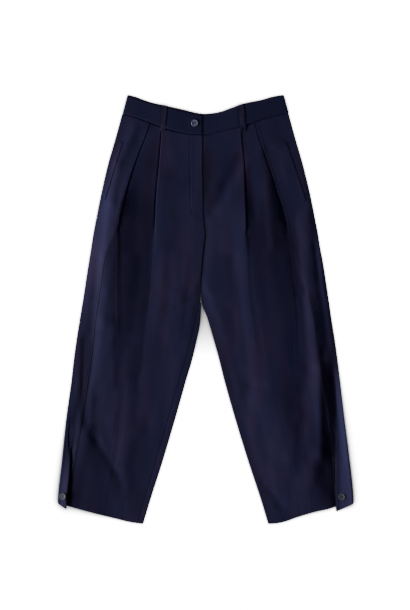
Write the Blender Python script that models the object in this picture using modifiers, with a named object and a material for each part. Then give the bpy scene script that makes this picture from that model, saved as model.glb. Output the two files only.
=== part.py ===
"""Double-pleated barrel-leg trousers with buttoned hem tucks, laid flat with the front up.

Every table is in millimetres. x runs to the viewer's right, and "down" is measured from the top of the
waistband to the hems. The scene is in metres: +Y points to the waist, +Z up, and the surface is at z = 0.
"""

from collections import namedtuple
from math import cos, pi, radians, sin

import bmesh
import bpy
import numpy as np
from mathutils import Matrix, Vector
from mathutils.bvhtree import BVHTree

MM = 0.001
NAME = "pleated_trousers"

# Cloth, seams and layers
CLOTH = 1.2
BAND = 1.6
WELT = 1.0
SEAM_GAP = 0.3
WAIST_GAP = 0.6
LAYER_GAP = 0.35
PITCH = CLOTH + LAYER_GAP
BACK_Z = CLOTH / 2
FRONT_Z = BACK_Z + PITCH

# Lengths measured down from the top of the waistband
TOP_EDGE = 471.8
CROTCH = 447
FLY_END = 273
ROWS = 25
CROSSING_STEPS = 12

# Curves across the garment: the waist seam, the top of the waistband and the two hems
WAIST_SEAM = (
    # x, down
    (-185, 41), (-160, 47), (-136, 55.5), (-107, 66.5), (-87, 74), (-59, 81.5), (-21, 87),
    (3, 87), (29, 82), (73, 71.5), (92, 65.5), (120, 57), (135, 51.5), (161, 44), (185, 40),
)
BAND_TOP = (
    # x, down
    (-172, 0), (-153, 5), (-136, 11.5), (-116, 18), (-96, 22.5), (-72, 28), (-45, 34), (-23, 39.5),
    (-4, 42), (16, 40.5), (36, 36.5), (54, 30), (73, 23), (92, 17.5), (122, 11.5), (148, 4), (172, 0),
)
LEFT_HEM = (
    # x, down
    (-326, 897), (-308, 902), (-263, 915), (-197, 932), (-163, 940), (-138, 943.5),
)
RIGHT_HEM = (
    # x, down
    (138, 943.5), (154, 942.5), (170, 939.5), (203, 928), (240, 917), (271, 910), (291, 903.5), (326, 893),
)

# Sections across each leg: the outer edge, the front seam, the two pleat edges, the inseam and the inner edge
Section = namedtuple("Section", "down outer seam side_pleat centre_pleat inseam inner")
LEFT_SECTIONS = [
    Section(40, -183, -120, -115, -95, -8, -8),
    Section(88, -196, -137, -132, -97, -7, -7),
    Section(154, -215, -162, -157, -102, -7, -7),
    Section(220, -230, -182, -177, -108, -6, -6),
    Section(280, -242, -195, -190, -111, -4, -4),
    Section(306, -247, -200, -192, -112, -1, -1),
    Section(332, -251, -211, -193, -115, -4, -4),
    Section(363, -256, -221, -193, -118, -7, -7),
    Section(407, -263, -228, -194, -121, -10, -10),
    Section(447, -269, -234, -194, -124, -11, -10),
    Section(495, -277, -241, -193, -130, -22, -12),
    Section(539, -284, -246, -192, -136, -32, -20),
    Section(583, -290, -250, -194, -140, -44, -30),
    Section(627, -295, -257, -198, -145, -58, -43),
    Section(715, -307, -271, -212, -160, -83, -68),
    Section(803, -316, -286, -230, -178, -109, -94),
    Section(891, -325, -299, -246, -196, -135, -122),
    Section(944, -326, -300, -252, -202, -150, -138),
]
RIGHT_SECTIONS = [
    Section(40, 182, 109, 104, 77, -8, -8),
    Section(88, 195, 122, 117, 79, -7, -7),
    Section(154, 214, 145, 140, 85, -7, -7),
    Section(220, 230, 166, 161, 87, -6, -6),
    Section(280, 242, 184, 179, 89, -4, -4),
    Section(306, 247, 187, 181, 89, -1, -1),
    Section(332, 251, 194, 183, 90, -4, -4),
    Section(363, 257, 207, 187, 91, -7, -7),
    Section(407, 264, 219, 193, 93, -10, -10),
    Section(447, 270, 227, 198, 96, -10, -10),
    Section(495, 277, 237, 203, 103, 5, 5),
    Section(539, 284, 242, 204, 109, 18, 18),
    Section(583, 290, 247, 205, 116, 30, 30),
    Section(627, 295, 253, 207, 125, 41, 41),
    Section(715, 305, 268, 218, 149, 66, 66),
    Section(803, 316, 278, 230, 168, 93, 93),
    Section(891, 325, 284, 240, 184, 122, 122),
    Section(944, 326, 287, 244, 192, 138, 138),
]

# Pleats: how far each edge laps over the cloth below it, and how high it stands. A pleat whose overlap has
# fallen below zero has opened into a soft ramp.
Pleat = namedtuple("Pleat", "down centre_overlap centre_rise side_overlap side_rise")
PLEATS = [
    Pleat(40, 24, 3.2, 22, 3.2),
    Pleat(120, 23, 4.0, 20, 4.0),
    Pleat(250, 20, 5.2, 17, 5.4),
    Pleat(380, 14, 5.6, 12, 6.0),
    Pleat(480, 8, 5.6, 7, 6.0),
    Pleat(550, -4, 5.2, -3, 5.4),
    Pleat(620, -12, 3.6, -10, 3.8),
    Pleat(700, -15, 1.4, -13, 1.6),
    Pleat(780, -15, 0.0, -13, 0.0),
    Pleat(944, -15, 0.0, -13, 0.0),
]

# Hem tucks: the strip that laps over the side panel and its width from the outer edge. Its tip drops below the
# hem, and its outer edge stands lower or higher than its fold by the swell, a share of the rise.
Tuck = namedtuple("Tuck", "down width overlap rise")
LEFT_TUCK = [
    Tuck(40, 15, -1, 0.0), Tuck(640, 15, -1, 0.0), Tuck(740, 17, -3, 1.6), Tuck(800, 19, 5, 4.0),
    Tuck(847, 21, 6, 5.4), Tuck(891, 20, 6, 6.4), Tuck(944, 17, 5, 6.4),
]
RIGHT_TUCK = [
    Tuck(40, 15, -1, 0.0), Tuck(520, 16, -1, 0.0), Tuck(640, 20, -5, 1.8), Tuck(740, 23, 2, 3.4),
    Tuck(803, 29, 9, 4.0), Tuck(891, 36, 11, 4.4), Tuck(944, 35, 11, 4.4),
]
Tip = namedtuple("Tip", "inner_drop outer_drop swell")
LEFT_TIP = Tip(8.5, 0, -0.8)
RIGHT_TIP = Tip(12, 5, 0.8)
TIP_LENGTH = 70

# Soft folds and hollows in the fronts, each along a straight line; a negative height is a hollow
Fold = namedtuple("Fold", "x down end_x end_down height half_width")
FOLDS = [
    Fold(-155, 73, -193, 154, 0.6, 9),
    Fold(-192, 150, -206, 240, 1.0, 9),
    Fold(-204, 240, -222, 500, 2.3, 18),
    Fold(-222, 500, -230, 640, 1.8, 16),
    Fold(-262, 540, -264, 720, -2.6, 12),
    Fold(-202, 500, -204, 640, 0.8, 9),
    Fold(-243, 650, -238, 760, -0.7, 10),
    Fold(-147, 190, -158, 340, -0.4, 14),
    Fold(-64, 170, -66, 330, -0.6, 14),
    Fold(-40, 440, -52, 560, -0.7, 14),
    Fold(-142, 620, -150, 700, -0.7, 14),
    Fold(-232, 693, -188, 860, -0.5, 12),
    Fold(-150, 760, -164, 826, -0.6, 12),
    Fold(78, 140, 18, 256, -1.4, 14),
    Fold(82, 120, 107, 560, 0.4, 16),
    Fold(112, 150, 128, 330, 0.4, 18),
    Fold(140, 130, 181, 264, -2.7, 14),
    Fold(181, 264, 214, 429, -1.6, 14),
    Fold(214, 429, 228, 600, -1.3, 14),
    Fold(60, 480, 92, 680, -0.9, 16),
    Fold(254, 600, 254, 790, 2.3, 13),
    Fold(195, 850, 226, 800, -0.6, 14),
    Fold(146, 875, 164, 902, -1.1, 10),
    Fold(206, 730, 204, 810, -1.0, 12),
    Fold(252, 800, 238, 880, -0.5, 14),
]

# The lie of each leg: how high its cloth stands at its lines, from the waist to the hem. Between two lines the
# height changes evenly, and more softly below the pleats. It is 0 at the outer edge and fades at the inner one.
Lie = namedtuple("Lie", "down seam side_pleat centre_pleat inner")
LEFT_LIE = [
    Lie(40, 0.2, 0.2, 0.2, 0.1),
    Lie(85, 1.2, 1.2, 0.3, 0.7),
    Lie(130, 3.0, 3.0, 0.2, 1.2),
    Lie(190, 6.9, 6.9, 2.5, 1.6),
    Lie(264, 9.5, 9.5, 1.2, 2.0),
    Lie(340, 9.4, 9.7, 1.7, 2.4),
    Lie(429, 6.0, 7.1, 0.3, 2.0),
    Lie(517, 1.1, 3.9, 0.1, 2.1),
    Lie(605, 0.2, 2.6, 0.2, 0.9),
    Lie(693, 0.3, 0.2, 0.3, 0.1),
    Lie(781, 3.9, 1.6, 2.5, 0.1),
    Lie(860, 7.5, 4.1, 2.6, 0.2),
    Lie(944, 6.0, 3.4, 0.3, 0.3),
]
RIGHT_LIE = [
    Lie(40, 0.2, 0.2, 0.2, 0.1),
    Lie(85, 0.9, 0.9, 1.1, 0.7),
    Lie(130, 1.0, 1.0, 0.3, 1.2),
    Lie(190, 1.4, 1.4, 1.2, 1.6),
    Lie(264, 1.3, 1.3, 6.9, 2.0),
    Lie(340, 1.4, 1.5, 8.3, 2.4),
    Lie(429, 3.3, 1.1, 6.4, 2.0),
    Lie(517, 5.3, 1.7, 4.6, 0.2),
    Lie(605, 4.3, 2.3, 4.7, 0.2),
    Lie(693, 3.9, 4.1, 6.4, 0.1),
    Lie(781, 0.7, 6.4, 5.9, 0.2),
    Lie(860, 0.2, 5.5, 3.1, 0.2),
    Lie(944, 3.9, 0.3, 0.3, 0.3),
]
INNER_FADE = 30
SOFT_FROM = 500
SOFT_OVER = 150
ACROSS = ("inner", "centre_pleat", "side_pleat", "seam", "outer")

# How far from the edges the folds fade out, and how softly the cloth meets the level it can't go below
FOLD_FADE = 14
FLOOR_SOFTNESS = 0.4

# Folded edges: the least half thickness of a turn, the length of an opened pleat's ramp, the overlap at which a
# fold is fully closed, and the length in which a top layer sinks to the flat behind its fold
MIN_TURN = 0.6
RAMP = 10
FOLD_BLEND = 6
RELAX = 32
REST_MARGIN = 2

# Where the columns of the panels stand, as shares of the way between two lines
TO_CENTRE_PLEAT = (0, 0.16, 0.34, 0.5, 0.64, 0.76, 0.88)
BETWEEN_PLEATS = (0.2, 0.4, 0.6, 0.8)
TO_SEAM = (0.33, 0.67, 1)
TO_TUCK = (0, 0.14, 0.3, 0.46, 0.62, 0.8)
OVER_STRIP = (0.4, 0.75, 1)
UNDER_SIDE = (0.5, 1)
OVER_BACK = (0, 0.16, 0.34, 0.55, 0.77, 1)
OUTER_TURN = (50, 0, -50, -90)
INNER_TURN = (-45, 0, 45, 90)
TURN_REACH = 3
SIDE_FADE = 20

# Underlap of the right front below the left one, down the fly and the crotch seam
UNDERLAP = (
    # down, width
    (40, 14), (FLY_END, 14), (FLY_END + 30, 4), (CROTCH - 90, 4), (CROTCH - 60, 0), (CROTCH, 0),
)

# The fly: how high the left front stands where it laps, where that sinks and fades out, and the lift of the cloth
# over what lies below the lap. Also how far the side panel goes under, and where the back starts to come forward
LAP_PITCH = PITCH + 0.3
LAP_FLAT = 18
LAP_SINK = 40
LAP_FADE_START = CROTCH - 55
LAP_FADE = 45
FLY_LIFT = 1.3
FLY_FADE = 120
FLY_RAMP = 12
WRAP_UNDER = 30
WRAP_START = CROTCH + 8

# Waistband: its heights at the side, on the front and at the lap, and where each half slopes to its lap
BAND_SIDE_Z = 3.4
BAND_FRONT_Z = 5.2
BAND_LAP_Z = 4.7
BAND_LEAN = 11
BAND_SIDE_BLEND = 55
CENTRE = -8
LEFT_LAP_SLOPE = (-68, 30)
RIGHT_LAP_SLOPE = (16, 18)
RIGHT_LAP_END = CENTRE - 22
BAND_COLUMNS = 16
BAND_ROWS = (0, 0.08, 0.5, 0.92, 1)
BAND_END = {"left": -172, "right": 172}
BACK_BAND_DROP = 1.0

# Belt loops: x at the top and at the bottom of each. The path of a loop runs from its turned foot, which is
# seated on the front, up and over the top edge of the waistband, and down behind it.
LOOP_WIDTH = 11.5
LOOP_BOTTOM = 79
LOOP_SEAT_Z = 8.0
LOOP_FOOT = (
    # above the bottom edge, above the seat
    (9, 0), (2, 0), (0, PITCH / 2), (2, PITCH), (12, PITCH), (22, 1.1),
)
LOOP_OVER = (
    # below the band's top edge, above the band's front
    (15, 0.7), (3, 0.3), (-0.5, -0.1),
)
LOOP_TURN = (
    # below the band's top edge, above the band's middle
    (-1.9, 0.9), (-1.9, -0.9),
)
LOOP_BEHIND = (
    # below the band's top edge, above the lie behind the band
    (-0.5, 0.1), (2, 0), (6, 0),
)
LOOPS = {"left": (-90, -94), "right": (78, 83)}

# Pocket welts: the corners of each, top outer, top inner, bottom outer, bottom inner. Each point of a welt
# clears the highest point of the panel within a small reach of it.
WELT_ROWS = 13
WELT_COLUMNS = (0, 0.33, 0.67, 1)
WELT_CLEAR_X = (-2, 0, 2)
WELT_CLEAR_DOWN = (-3, 0, 3)
WELTS = {
    "left": ((-191, 97), (-180, 107), (-229, 236), (-217, 239)),
    "right": ((178, 95), (165, 100), (225, 236), (212, 235)),
}

# Buttons: radius, height, the four holes, and the profile from the dish over the rim to the underside
BUTTON_RADIUS = 8.2
BUTTON_HEIGHT = 2.8
BUTTON_STEPS = 24
BUTTON_HOLES = 4
BUTTON_HOLE = 0.9
BUTTON_HOLE_OUT = 1.9
HOLE_SIDES = 8
HOLE_LENGTH = 8
BUTTON_PROFILE = (
    # radius, height
    (0.0, 1.9), (BUTTON_RADIUS * 0.62, 1.9), (BUTTON_RADIUS * 0.74, BUTTON_HEIGHT),
    (BUTTON_RADIUS * 0.92, BUTTON_HEIGHT), (BUTTON_RADIUS, 1.7), (BUTTON_RADIUS, 0.9),
    (BUTTON_RADIUS * 0.72, 0.0), (0.0, 0.0),
)
Button = namedtuple("Button", "x down tilt")
WAIST_BUTTON = Button(-24, 62, 0)
HEM_BUTTONS = {"left": Button(-314.5, 883, -42), "right": Button(299, 885, -18)}

# Finishes: linear colour and roughness
Finish = namedtuple("Finish", "colour roughness")
GABARDINE = Finish((0.012, 0.013, 0.030), 0.85)
RESIN = Finish((0.11, 0.11, 0.16), 0.45)


def clear_scene():
    for item in list(bpy.data.objects):
        bpy.data.objects.remove(item, do_unlink=True)
    for collection in list(bpy.data.collections):
        bpy.data.collections.remove(collection)


def collection_named(name):
    made = bpy.data.collections.new(name)
    bpy.context.scene.collection.children.link(made)
    return made


def material(name, finish):
    made = bpy.data.materials.new(name)
    made.use_nodes = True
    shader = made.node_tree.nodes["Principled BSDF"]
    shader.inputs["Base Color"].default_value = (*finish.colour, 1)
    shader.inputs["Roughness"].default_value = finish.roughness
    made.diffuse_color = (*finish.colour, 1)
    return made


def ease(value):
    """0 below 0, 1 above 1, and a smooth step between."""
    value = np.clip(value, 0.0, 1.0)
    return value * value * (3 - 2 * value)


def curve_through(points):
    """A smooth curve through (place, value) points that never overshoots them."""
    places, values = (np.array(column, float) for column in zip(*points))
    steps = np.diff(values) / np.diff(places)
    slopes = np.zeros(len(values))
    for i in range(1, len(values) - 1):
        if steps[i - 1] * steps[i] > 0:
            slopes[i] = 2 * steps[i - 1] * steps[i] / (steps[i - 1] + steps[i])
    slopes[0], slopes[-1] = steps[0], steps[-1]

    def value_at(place):
        place = float(np.clip(place, places[0], places[-1]))
        i = int(np.clip(np.searchsorted(places, place) - 1, 0, len(places) - 2))
        width = places[i + 1] - places[i]
        u = (place - places[i]) / width
        start = (1 + 2 * u) * (1 - u) ** 2 * values[i] + u * (1 - u) ** 2 * width * slopes[i]
        end = u * u * (3 - 2 * u) * values[i + 1] + u * u * (u - 1) * width * slopes[i + 1]
        return start + end

    return value_at


def columns(table):
    """A smooth curve for each named column of a table, read by its first column."""
    names = table[0]._fields[1:]
    return {name: curve_through([(row[0], getattr(row, name)) for row in table]) for name in names}


waist_seam = curve_through(WAIST_SEAM)
band_top = curve_through(BAND_TOP)
underlap = curve_through(UNDERLAP)
pleats = columns(PLEATS)


def distance_to(fold, x, down):
    """How far a point lies from a fold's line."""
    along = np.array((fold.end_x - fold.x, fold.end_down - fold.down), float)
    offset = np.array((x - fold.x, down - fold.down), float)
    share = np.clip(offset @ along / (along @ along), 0, 1)
    return float(np.hypot(*(offset - share * along)))


class Leg:
    """One side of the garment: its lines, and the rows and layers that every panel of it is lofted through."""

    def __init__(self, side, sections, lie, tuck, tip, hem):
        self.side = side
        self.outward = -1 if side == "left" else 1
        self.lines = columns(sections)
        self.lie = columns(lie)
        self.tuck = columns(tuck)
        self.tip = tip
        self.hem = curve_through(hem)

    def down(self, row, x):
        """How far down a row crosses x. Rows run from the waist seam to the hem."""
        return (1 - row) * (waist_seam(x) + WAIST_GAP) + row * self.hem(x)

    def crossing(self, row, line):
        """Where a row meets a line that is given by its x at each height."""
        x = line(CROTCH)
        for _ in range(CROSSING_STEPS):
            x = (x + line(self.down(row, x))) / 2
        return x

    def out(self, row, name):
        """The distance outward of one of the leg's lines on a row."""
        return self.outward * self.crossing(row, self.lines[name])

    def lie_at(self, out, down):
        """The broad height at a distance outward, from the heights at the lines on either side of it."""
        places = [self.outward * self.lines[name](down) for name in ACROSS]
        heights = [self.lie[name](down) if name in self.lie else 0.0 for name in ACROSS]
        softness = ease((down - SOFT_FROM) / SOFT_OVER)
        for near, far, low, high in zip(places, places[1:], heights, heights[1:]):
            if out <= far:
                share = np.clip((out - near) / (far - near), 0, 1)
                share += softness * (ease(share) - share)
                return low + share * (high - low)
        return heights[-1]

    def relief(self, x, down):
        """How high the front stands above its flat lie at a point."""
        out = self.outward * x
        to_outer = self.outward * self.lines["outer"](down) - out
        to_inner = out - self.outward * self.lines["inner"](down)
        to_inner = max(to_inner, 0) + max(CROTCH - down, 0) / 2
        height = self.lie_at(out, down) * ease(to_inner / INNER_FADE)
        shaped = sum(f.height * np.exp(-((distance_to(f, x, down) / f.half_width) ** 2)) for f in FOLDS)
        height += shaped * ease(to_outer / FOLD_FADE) * ease(to_inner / FOLD_FADE)
        return (height + np.hypot(height, FLOOR_SOFTNESS)) / 2

    def point(self, row, out, level, drop=0.0):
        """A point of the cloth's middle surface, from its row, its distance outward and its layer's height."""
        x = self.outward * out
        down = self.down(row, x)
        z = FRONT_Z + self.relief(x, down) + level
        return Vector((x, TOP_EDGE - down - drop, z)) * MM

    def under_point(self, row, out, z=BACK_Z, drop=0.0):
        """A point that keeps a given height, whatever the front above it does."""
        x = self.outward * out
        return Vector((x, TOP_EDGE - self.down(row, x) - drop, z)) * MM


def z_fold(overlap, rise):
    """Seven (offset, height) steps from the top layer over a fold's edge to the bottom layer."""
    turn = max(rise / 4, MIN_TURN)
    deep = max(overlap, FOLD_BLEND)
    folded = [
        (-turn, rise), (0, 0.75 * rise), (-turn, 0.5 * rise), (-deep / 2, 0.5 * rise),
        (turn - deep, 0.5 * rise), (-deep, 0.25 * rise), (turn - deep, 0.0),
    ]
    width = RAMP + 2 * max(-overlap, 0)
    ramp = [((i / 6 - 0.5) * width, rise * (1 - ease(i / 6))) for i in range(7)]
    closed = ease(overlap / FOLD_BLEND)
    steps = closed * np.array(folded) + (1 - closed) * np.array(ramp)
    return [(float(offset), float(height)) for offset, height in steps]


def resting(distance, overlap, rise):
    """The height of a top layer at a distance behind its fold: level over what it laps, then sinking."""
    closed = ease(overlap / FOLD_BLEND)
    start = closed * (max(overlap, 0) + REST_MARGIN) + (1 - closed) * (RAMP / 2 + max(-overlap, 0))
    return rise * (1 - ease((distance - start) / RELAX))


def strip_height(share, rise, swell):
    """The height of a hem tuck's strip, from its fold (share 0) to the outer edge (share 1)."""
    return rise * (1 + swell * ease(share))


def front_columns(leg, row):
    """One row of a front panel, from its centre or inner edge out to the side seam."""
    inner = leg.out(row, "inseam")
    inner_down = leg.down(row, leg.outward * inner)
    above_crotch = 1 - ease((inner_down - LAP_FADE_START) / LAP_FADE)
    fly_lift = FLY_LIFT * (1 - ease((inner_down - FLY_END) / FLY_FADE + 0.5))
    lap_start = inner + SEAM_GAP / 2
    if leg.side == "left":
        inner = lap_start
        lap_level = LAP_PITCH * above_crotch
    else:
        inner = lap_start - underlap(inner_down)
        lap_level = 0.0
    edge = {}
    for name in ("centre_pleat", "side_pleat"):
        at = leg.out(row, name)
        down = leg.down(row, leg.outward * at)
        key = name.split("_")[0]
        edge[name] = (at, pleats[key + "_overlap"](down), pleats[key + "_rise"](down))
    seam = leg.out(row, "seam") - SEAM_GAP / 2

    centre_at, centre_overlap, centre_rise = edge["centre_pleat"]
    side_at, side_overlap, side_rise = edge["side_pleat"]
    centre_fold = z_fold(centre_overlap, centre_rise)
    side_fold = z_fold(side_overlap, side_rise)

    made = []
    last = centre_at + centre_fold[0][0]
    for share in TO_CENTRE_PLEAT:
        out = inner + share * (last - inner)
        lapped = lap_level * (1 - ease((out - inner - LAP_FLAT) / LAP_SINK))
        lapped = max(lapped, fly_lift * ease((out - lap_start - REST_MARGIN) / FLY_RAMP))
        level = max(resting(centre_at - out, centre_overlap, centre_rise), lapped)
        made.append((out, level))
    made += [(centre_at + offset, height) for offset, height in centre_fold]
    start = made[-1][0]
    end = side_at - side_fold[-1][0]
    made += [(start + share * (end - start), 0.0) for share in BETWEEN_PLEATS]
    made += [(side_at - offset, height) for offset, height in reversed(side_fold)]
    start = made[-1][0]
    for share in TO_SEAM:
        out = start + share * (seam - start)
        made.append((out, resting(out - side_at, side_overlap, side_rise)))
    return [leg.point(row, out, level) for out, level in made]


def side_columns(leg, row):
    """One row of a side panel: from the front seam over the hem tuck, round the outer edge and under."""
    seam = leg.out(row, "seam") + SEAM_GAP / 2
    side_at = leg.out(row, "side_pleat")
    side_down = leg.down(row, leg.outward * side_at)
    overlap, rise = pleats["side_overlap"](side_down), pleats["side_rise"](side_down)
    outer = leg.out(row, "outer") - CLOTH / 2
    outer_down = leg.down(row, leg.outward * outer)
    tuck_at = outer - leg.tuck["width"](outer_down)
    tuck_overlap, tuck_rise = leg.tuck["overlap"](outer_down), leg.tuck["rise"](outer_down)
    tuck_fold = z_fold(tuck_overlap, tuck_rise)
    hem_share = ease((outer_down - (leg.hem(leg.outward * outer) - TIP_LENGTH)) / TIP_LENGTH)

    def level(out):
        return resting(out - side_at, overlap, rise) * ease((outer - out) / SIDE_FADE)

    def strip_drop(out):
        share = np.clip((out - tuck_at) / (outer - tuck_at), 0, 1)
        return hem_share * ((1 - share) * leg.tip.inner_drop + share * leg.tip.outer_drop)

    made = []
    end = tuck_at - tuck_fold[-1][0]
    for share in TO_TUCK:
        out = seam + share * (end - seam)
        made.append(leg.point(row, out, level(out)))
    for step, (offset, height) in enumerate(reversed(tuck_fold)):
        out = tuck_at - offset
        drop = strip_drop(out) * ease((step - 2) / 3)
        made.append(leg.point(row, out, level(out) + height, drop))
    start = tuck_at - tuck_fold[0][0]
    strip_end = outer - TURN_REACH
    for share in OVER_STRIP:
        out = start + share * (strip_end - start)
        height = strip_height((out - tuck_at) / (outer - tuck_at), tuck_rise, leg.tip.swell)
        made.append(leg.point(row, out, level(out) + height, strip_drop(out)))
    top = made[-1].z / MM
    radius = (top - BACK_Z) / 2
    reach = min(radius, TURN_REACH)
    for angle in OUTER_TURN:
        out = outer - reach + reach * cos(radians(angle))
        z = BACK_Z + radius + radius * sin(radians(angle))
        made.append(leg.under_point(row, out, z, strip_drop(out)))
    under_end = outer - WRAP_UNDER + SEAM_GAP / 2
    for share in UNDER_SIDE:
        out = outer - reach + share * (under_end - outer + reach)
        made.append(leg.under_point(row, out, BACK_Z, hem_share * leg.tip.outer_drop * (1 - share)))
    return made


def wraps_forward(leg, row):
    """Whether the back comes round the inner leg on this row."""
    return leg.side == "left" and leg.down(row, leg.outward * leg.out(row, "inner")) > WRAP_START


def back_stops(leg, row):
    """The distances outward of a back panel's flat columns, which the waistband's back shares."""
    start = leg.out(row, "outer") - CLOTH / 2 - WRAP_UNDER - SEAM_GAP / 2
    room = CLOTH / 2 + PITCH / 2 if wraps_forward(leg, row) else SEAM_GAP / 2
    end = leg.out(row, "inner") + room
    return [start + share * (end - start) for share in OVER_BACK]


def back_columns(leg, row):
    """One row of a back panel: flat from the side to the inner leg, then round to the inseam on the left."""
    radius = PITCH / 2
    stops = back_stops(leg, row)
    end = stops[-1]
    made = [leg.under_point(row, out) for out in stops]
    if wraps_forward(leg, row):
        for angle in INNER_TURN:
            out = end - radius * cos(radians(angle))
            z = BACK_Z + radius + radius * sin(radians(angle))
            made.append(leg.under_point(row, out, z))
        inseam = leg.out(row, "inseam") - SEAM_GAP / 2
        for share in UNDER_SIDE:
            out = end + share * (inseam - end)
            made.append(leg.point(row, out, 0.0))
    return made


def surface(rows):
    """An open mesh through rows of points. A longer row carries the columns that a shorter one lacks."""
    mesh = bmesh.new()
    made = [[mesh.verts.new(point) for point in row] for row in rows]
    for upper, lower in zip(made, made[1:]):
        for j in range(min(len(upper), len(lower)) - 1):
            mesh.faces.new((upper[j], lower[j], lower[j + 1], upper[j + 1]))
    return mesh


def shell(name, rows, thickness, finish, collection):
    """A cloth piece: the surface through its rows, with a wall built half to each side of it."""
    mesh = surface(rows)
    data = bpy.data.meshes.new(name)
    mesh.to_mesh(data)
    mesh.free()
    data.shade_smooth()
    data.materials.append(finish)
    piece = bpy.data.objects.new(name, data)
    collection.objects.link(piece)
    wall = piece.modifiers.new("Wall", "SOLIDIFY")
    wall.thickness = thickness * MM
    wall.offset = 0
    return piece


def panel(name, columns_of, leg, finish, collection):
    rows = [columns_of(leg, i / (ROWS - 1)) for i in range(ROWS)]
    return shell(name, rows, CLOTH, finish, collection)


def band_height(side, x):
    """The height of the waistband's middle surface on the front, at x."""
    inset = abs(BAND_END[side]) - abs(x)
    height = BAND_SIDE_Z + (BAND_FRONT_Z - BAND_SIDE_Z) * ease(inset / BAND_SIDE_BLEND)
    if side == "left":
        start, length = LEFT_LAP_SLOPE
        return height + (BAND_LAP_Z - BAND_FRONT_Z) * ease((x - start) / length)
    start, length = RIGHT_LAP_SLOPE
    lap_z = BAND_LAP_Z - BAND - SEAM_GAP
    return height + (lap_z - BAND_FRONT_Z) * ease((start - x) / length)


def waistband(leg, finish, collection):
    """Half of the waistband: the front from its lap, round the side, and the back to the centre seam."""
    side = leg.side
    end = abs(BAND_END[side]) + BAND_LEAN
    lap_end = leg.outward * (CENTRE + SEAM_GAP if side == "left" else RIGHT_LAP_END)
    edge = end - BAND / 2
    side_z = band_height(side, leg.outward * end)
    radius = (side_z - BAND / 2) / 2
    turn = [
        (edge - radius + radius * cos(radians(angle)), side_z - radius + radius * sin(radians(angle)))
        for angle in OUTER_TURN
    ]
    outs = np.linspace(lap_end, edge - radius, BAND_COLUMNS)
    front = [(out, band_height(side, leg.outward * out)) for out in outs]
    back = [(out, BAND / 2) for out in [leg.out(0, "outer") - WRAP_UNDER, *back_stops(leg, 0)]]
    rows = []
    for across in BAND_ROWS:
        made = []
        for step, (out, z) in enumerate(front + turn + back):
            x = leg.outward * (out - BAND_LEAN * (1 - across) * out / end)
            on_back = step >= len(front) + len(turn) - 1
            top = band_top(x) + (BACK_BAND_DROP if on_back else 0)
            low = waist_seam(x)
            made.append(Vector((x, TOP_EDGE - top - across * (low - top), z)) * MM)
        rows.append(made)
    return shell(f"waistband_{side}", rows, BAND, finish, collection)


def belt_loop(side, finish, collection):
    """A strip turned under at its foot, arched over the waistband and wrapped over its top edge."""
    top_x, bottom_x = LOOPS[side]
    band_z = band_height(side, top_x)
    above = band_z + BAND / 2 + LAYER_GAP + CLOTH / 2
    behind = band_z - BAND / 2 - LAYER_GAP - CLOTH / 2
    rows = []
    for across in (-0.5, 0, 0.5):
        top = band_top(top_x + across * LOOP_WIDTH)
        path = [(LOOP_BOTTOM - up, LOOP_SEAT_Z + rise) for up, rise in LOOP_FOOT]
        path += [(top + below, above + rise) for below, rise in LOOP_OVER]
        path += [(top + below, band_z + rise) for below, rise in LOOP_TURN]
        path += [(top + below, behind + rise) for below, rise in LOOP_BEHIND]
        made = []
        for down, z in path:
            x = top_x + (bottom_x - top_x) * (down - top) / (LOOP_BOTTOM - top) + across * LOOP_WIDTH
            made.append(Vector((x, TOP_EDGE - down, z)) * MM)
        rows.append(made)
    return shell(f"belt_loop_{side}", rows, CLOTH, finish, collection)


def top_of(piece):
    """A function that reads the height of a piece's upper face below a point, in millimetres."""
    bpy.context.view_layer.update()
    tree = BVHTree.FromObject(piece, bpy.context.evaluated_depsgraph_get())

    def height_at(x, down):
        above = Vector((x, TOP_EDGE - down, 100)) * MM
        hit = tree.ray_cast(above, Vector((0, 0, -1)))[0]
        return hit.z / MM if hit else 0.0

    return height_at


def pocket_welt(leg, under, finish, collection):
    """A narrow strip that lies on the side panel, made from that panel's points moved out."""
    top_outer, top_inner, low_outer, low_inner = (np.array(corner, float) for corner in WELTS[leg.side])
    height_at = top_of(under)
    rows = []
    for along in np.linspace(0, 1, WELT_ROWS):
        made = []
        for across in WELT_COLUMNS:
            outer = top_outer + along * (low_outer - top_outer)
            inner = top_inner + along * (low_inner - top_inner)
            x, down = outer + across * (inner - outer)
            seat = max(height_at(x + dx, down + dy) for dx in WELT_CLEAR_X for dy in WELT_CLEAR_DOWN)
            made.append(Vector((x, TOP_EDGE - down, seat + SEAM_GAP + WELT / 2)) * MM)
        rows.append(made)
    return shell(f"pocket_welt_{leg.side}", rows, WELT, finish, collection)


def seat_height(under, spec):
    """The lowest height at which a tilted button's underside clears the piece below it."""
    tilt = Matrix.Rotation(radians(spec.tilt), 3, "Y")
    height_at = top_of(under)
    needed = []
    for radius, height in BUTTON_PROFILE[-3:-1]:
        for i in range(BUTTON_STEPS):
            angle = 2 * pi * i / BUTTON_STEPS
            rim = tilt @ Vector((radius * cos(angle), radius * sin(angle), height))
            needed.append(height_at(spec.x + rim.x, spec.down - rim.y) + SEAM_GAP - rim.z)
    return max(needed)


def turned_button(name, finish, collection):
    """A button without its holes: the profile turned once about its axis."""
    mesh = bmesh.new()
    points = [mesh.verts.new(Vector((radius, 0, height)) * MM) for radius, height in BUTTON_PROFILE]
    for upper, lower in zip(points, points[1:]):
        mesh.edges.new((upper, lower))
    data = bpy.data.meshes.new(name)
    mesh.to_mesh(data)
    mesh.free()
    data.materials.append(finish)
    piece = bpy.data.objects.new(name, data)
    collection.objects.link(piece)
    turn = piece.modifiers.new("Turn", "SCREW")
    turn.steps = BUTTON_STEPS
    turn.render_steps = BUTTON_STEPS
    turn.use_merge_vertices = True
    turn.merge_threshold = 0.00001
    turn.use_smooth_shade = True
    return piece


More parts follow.
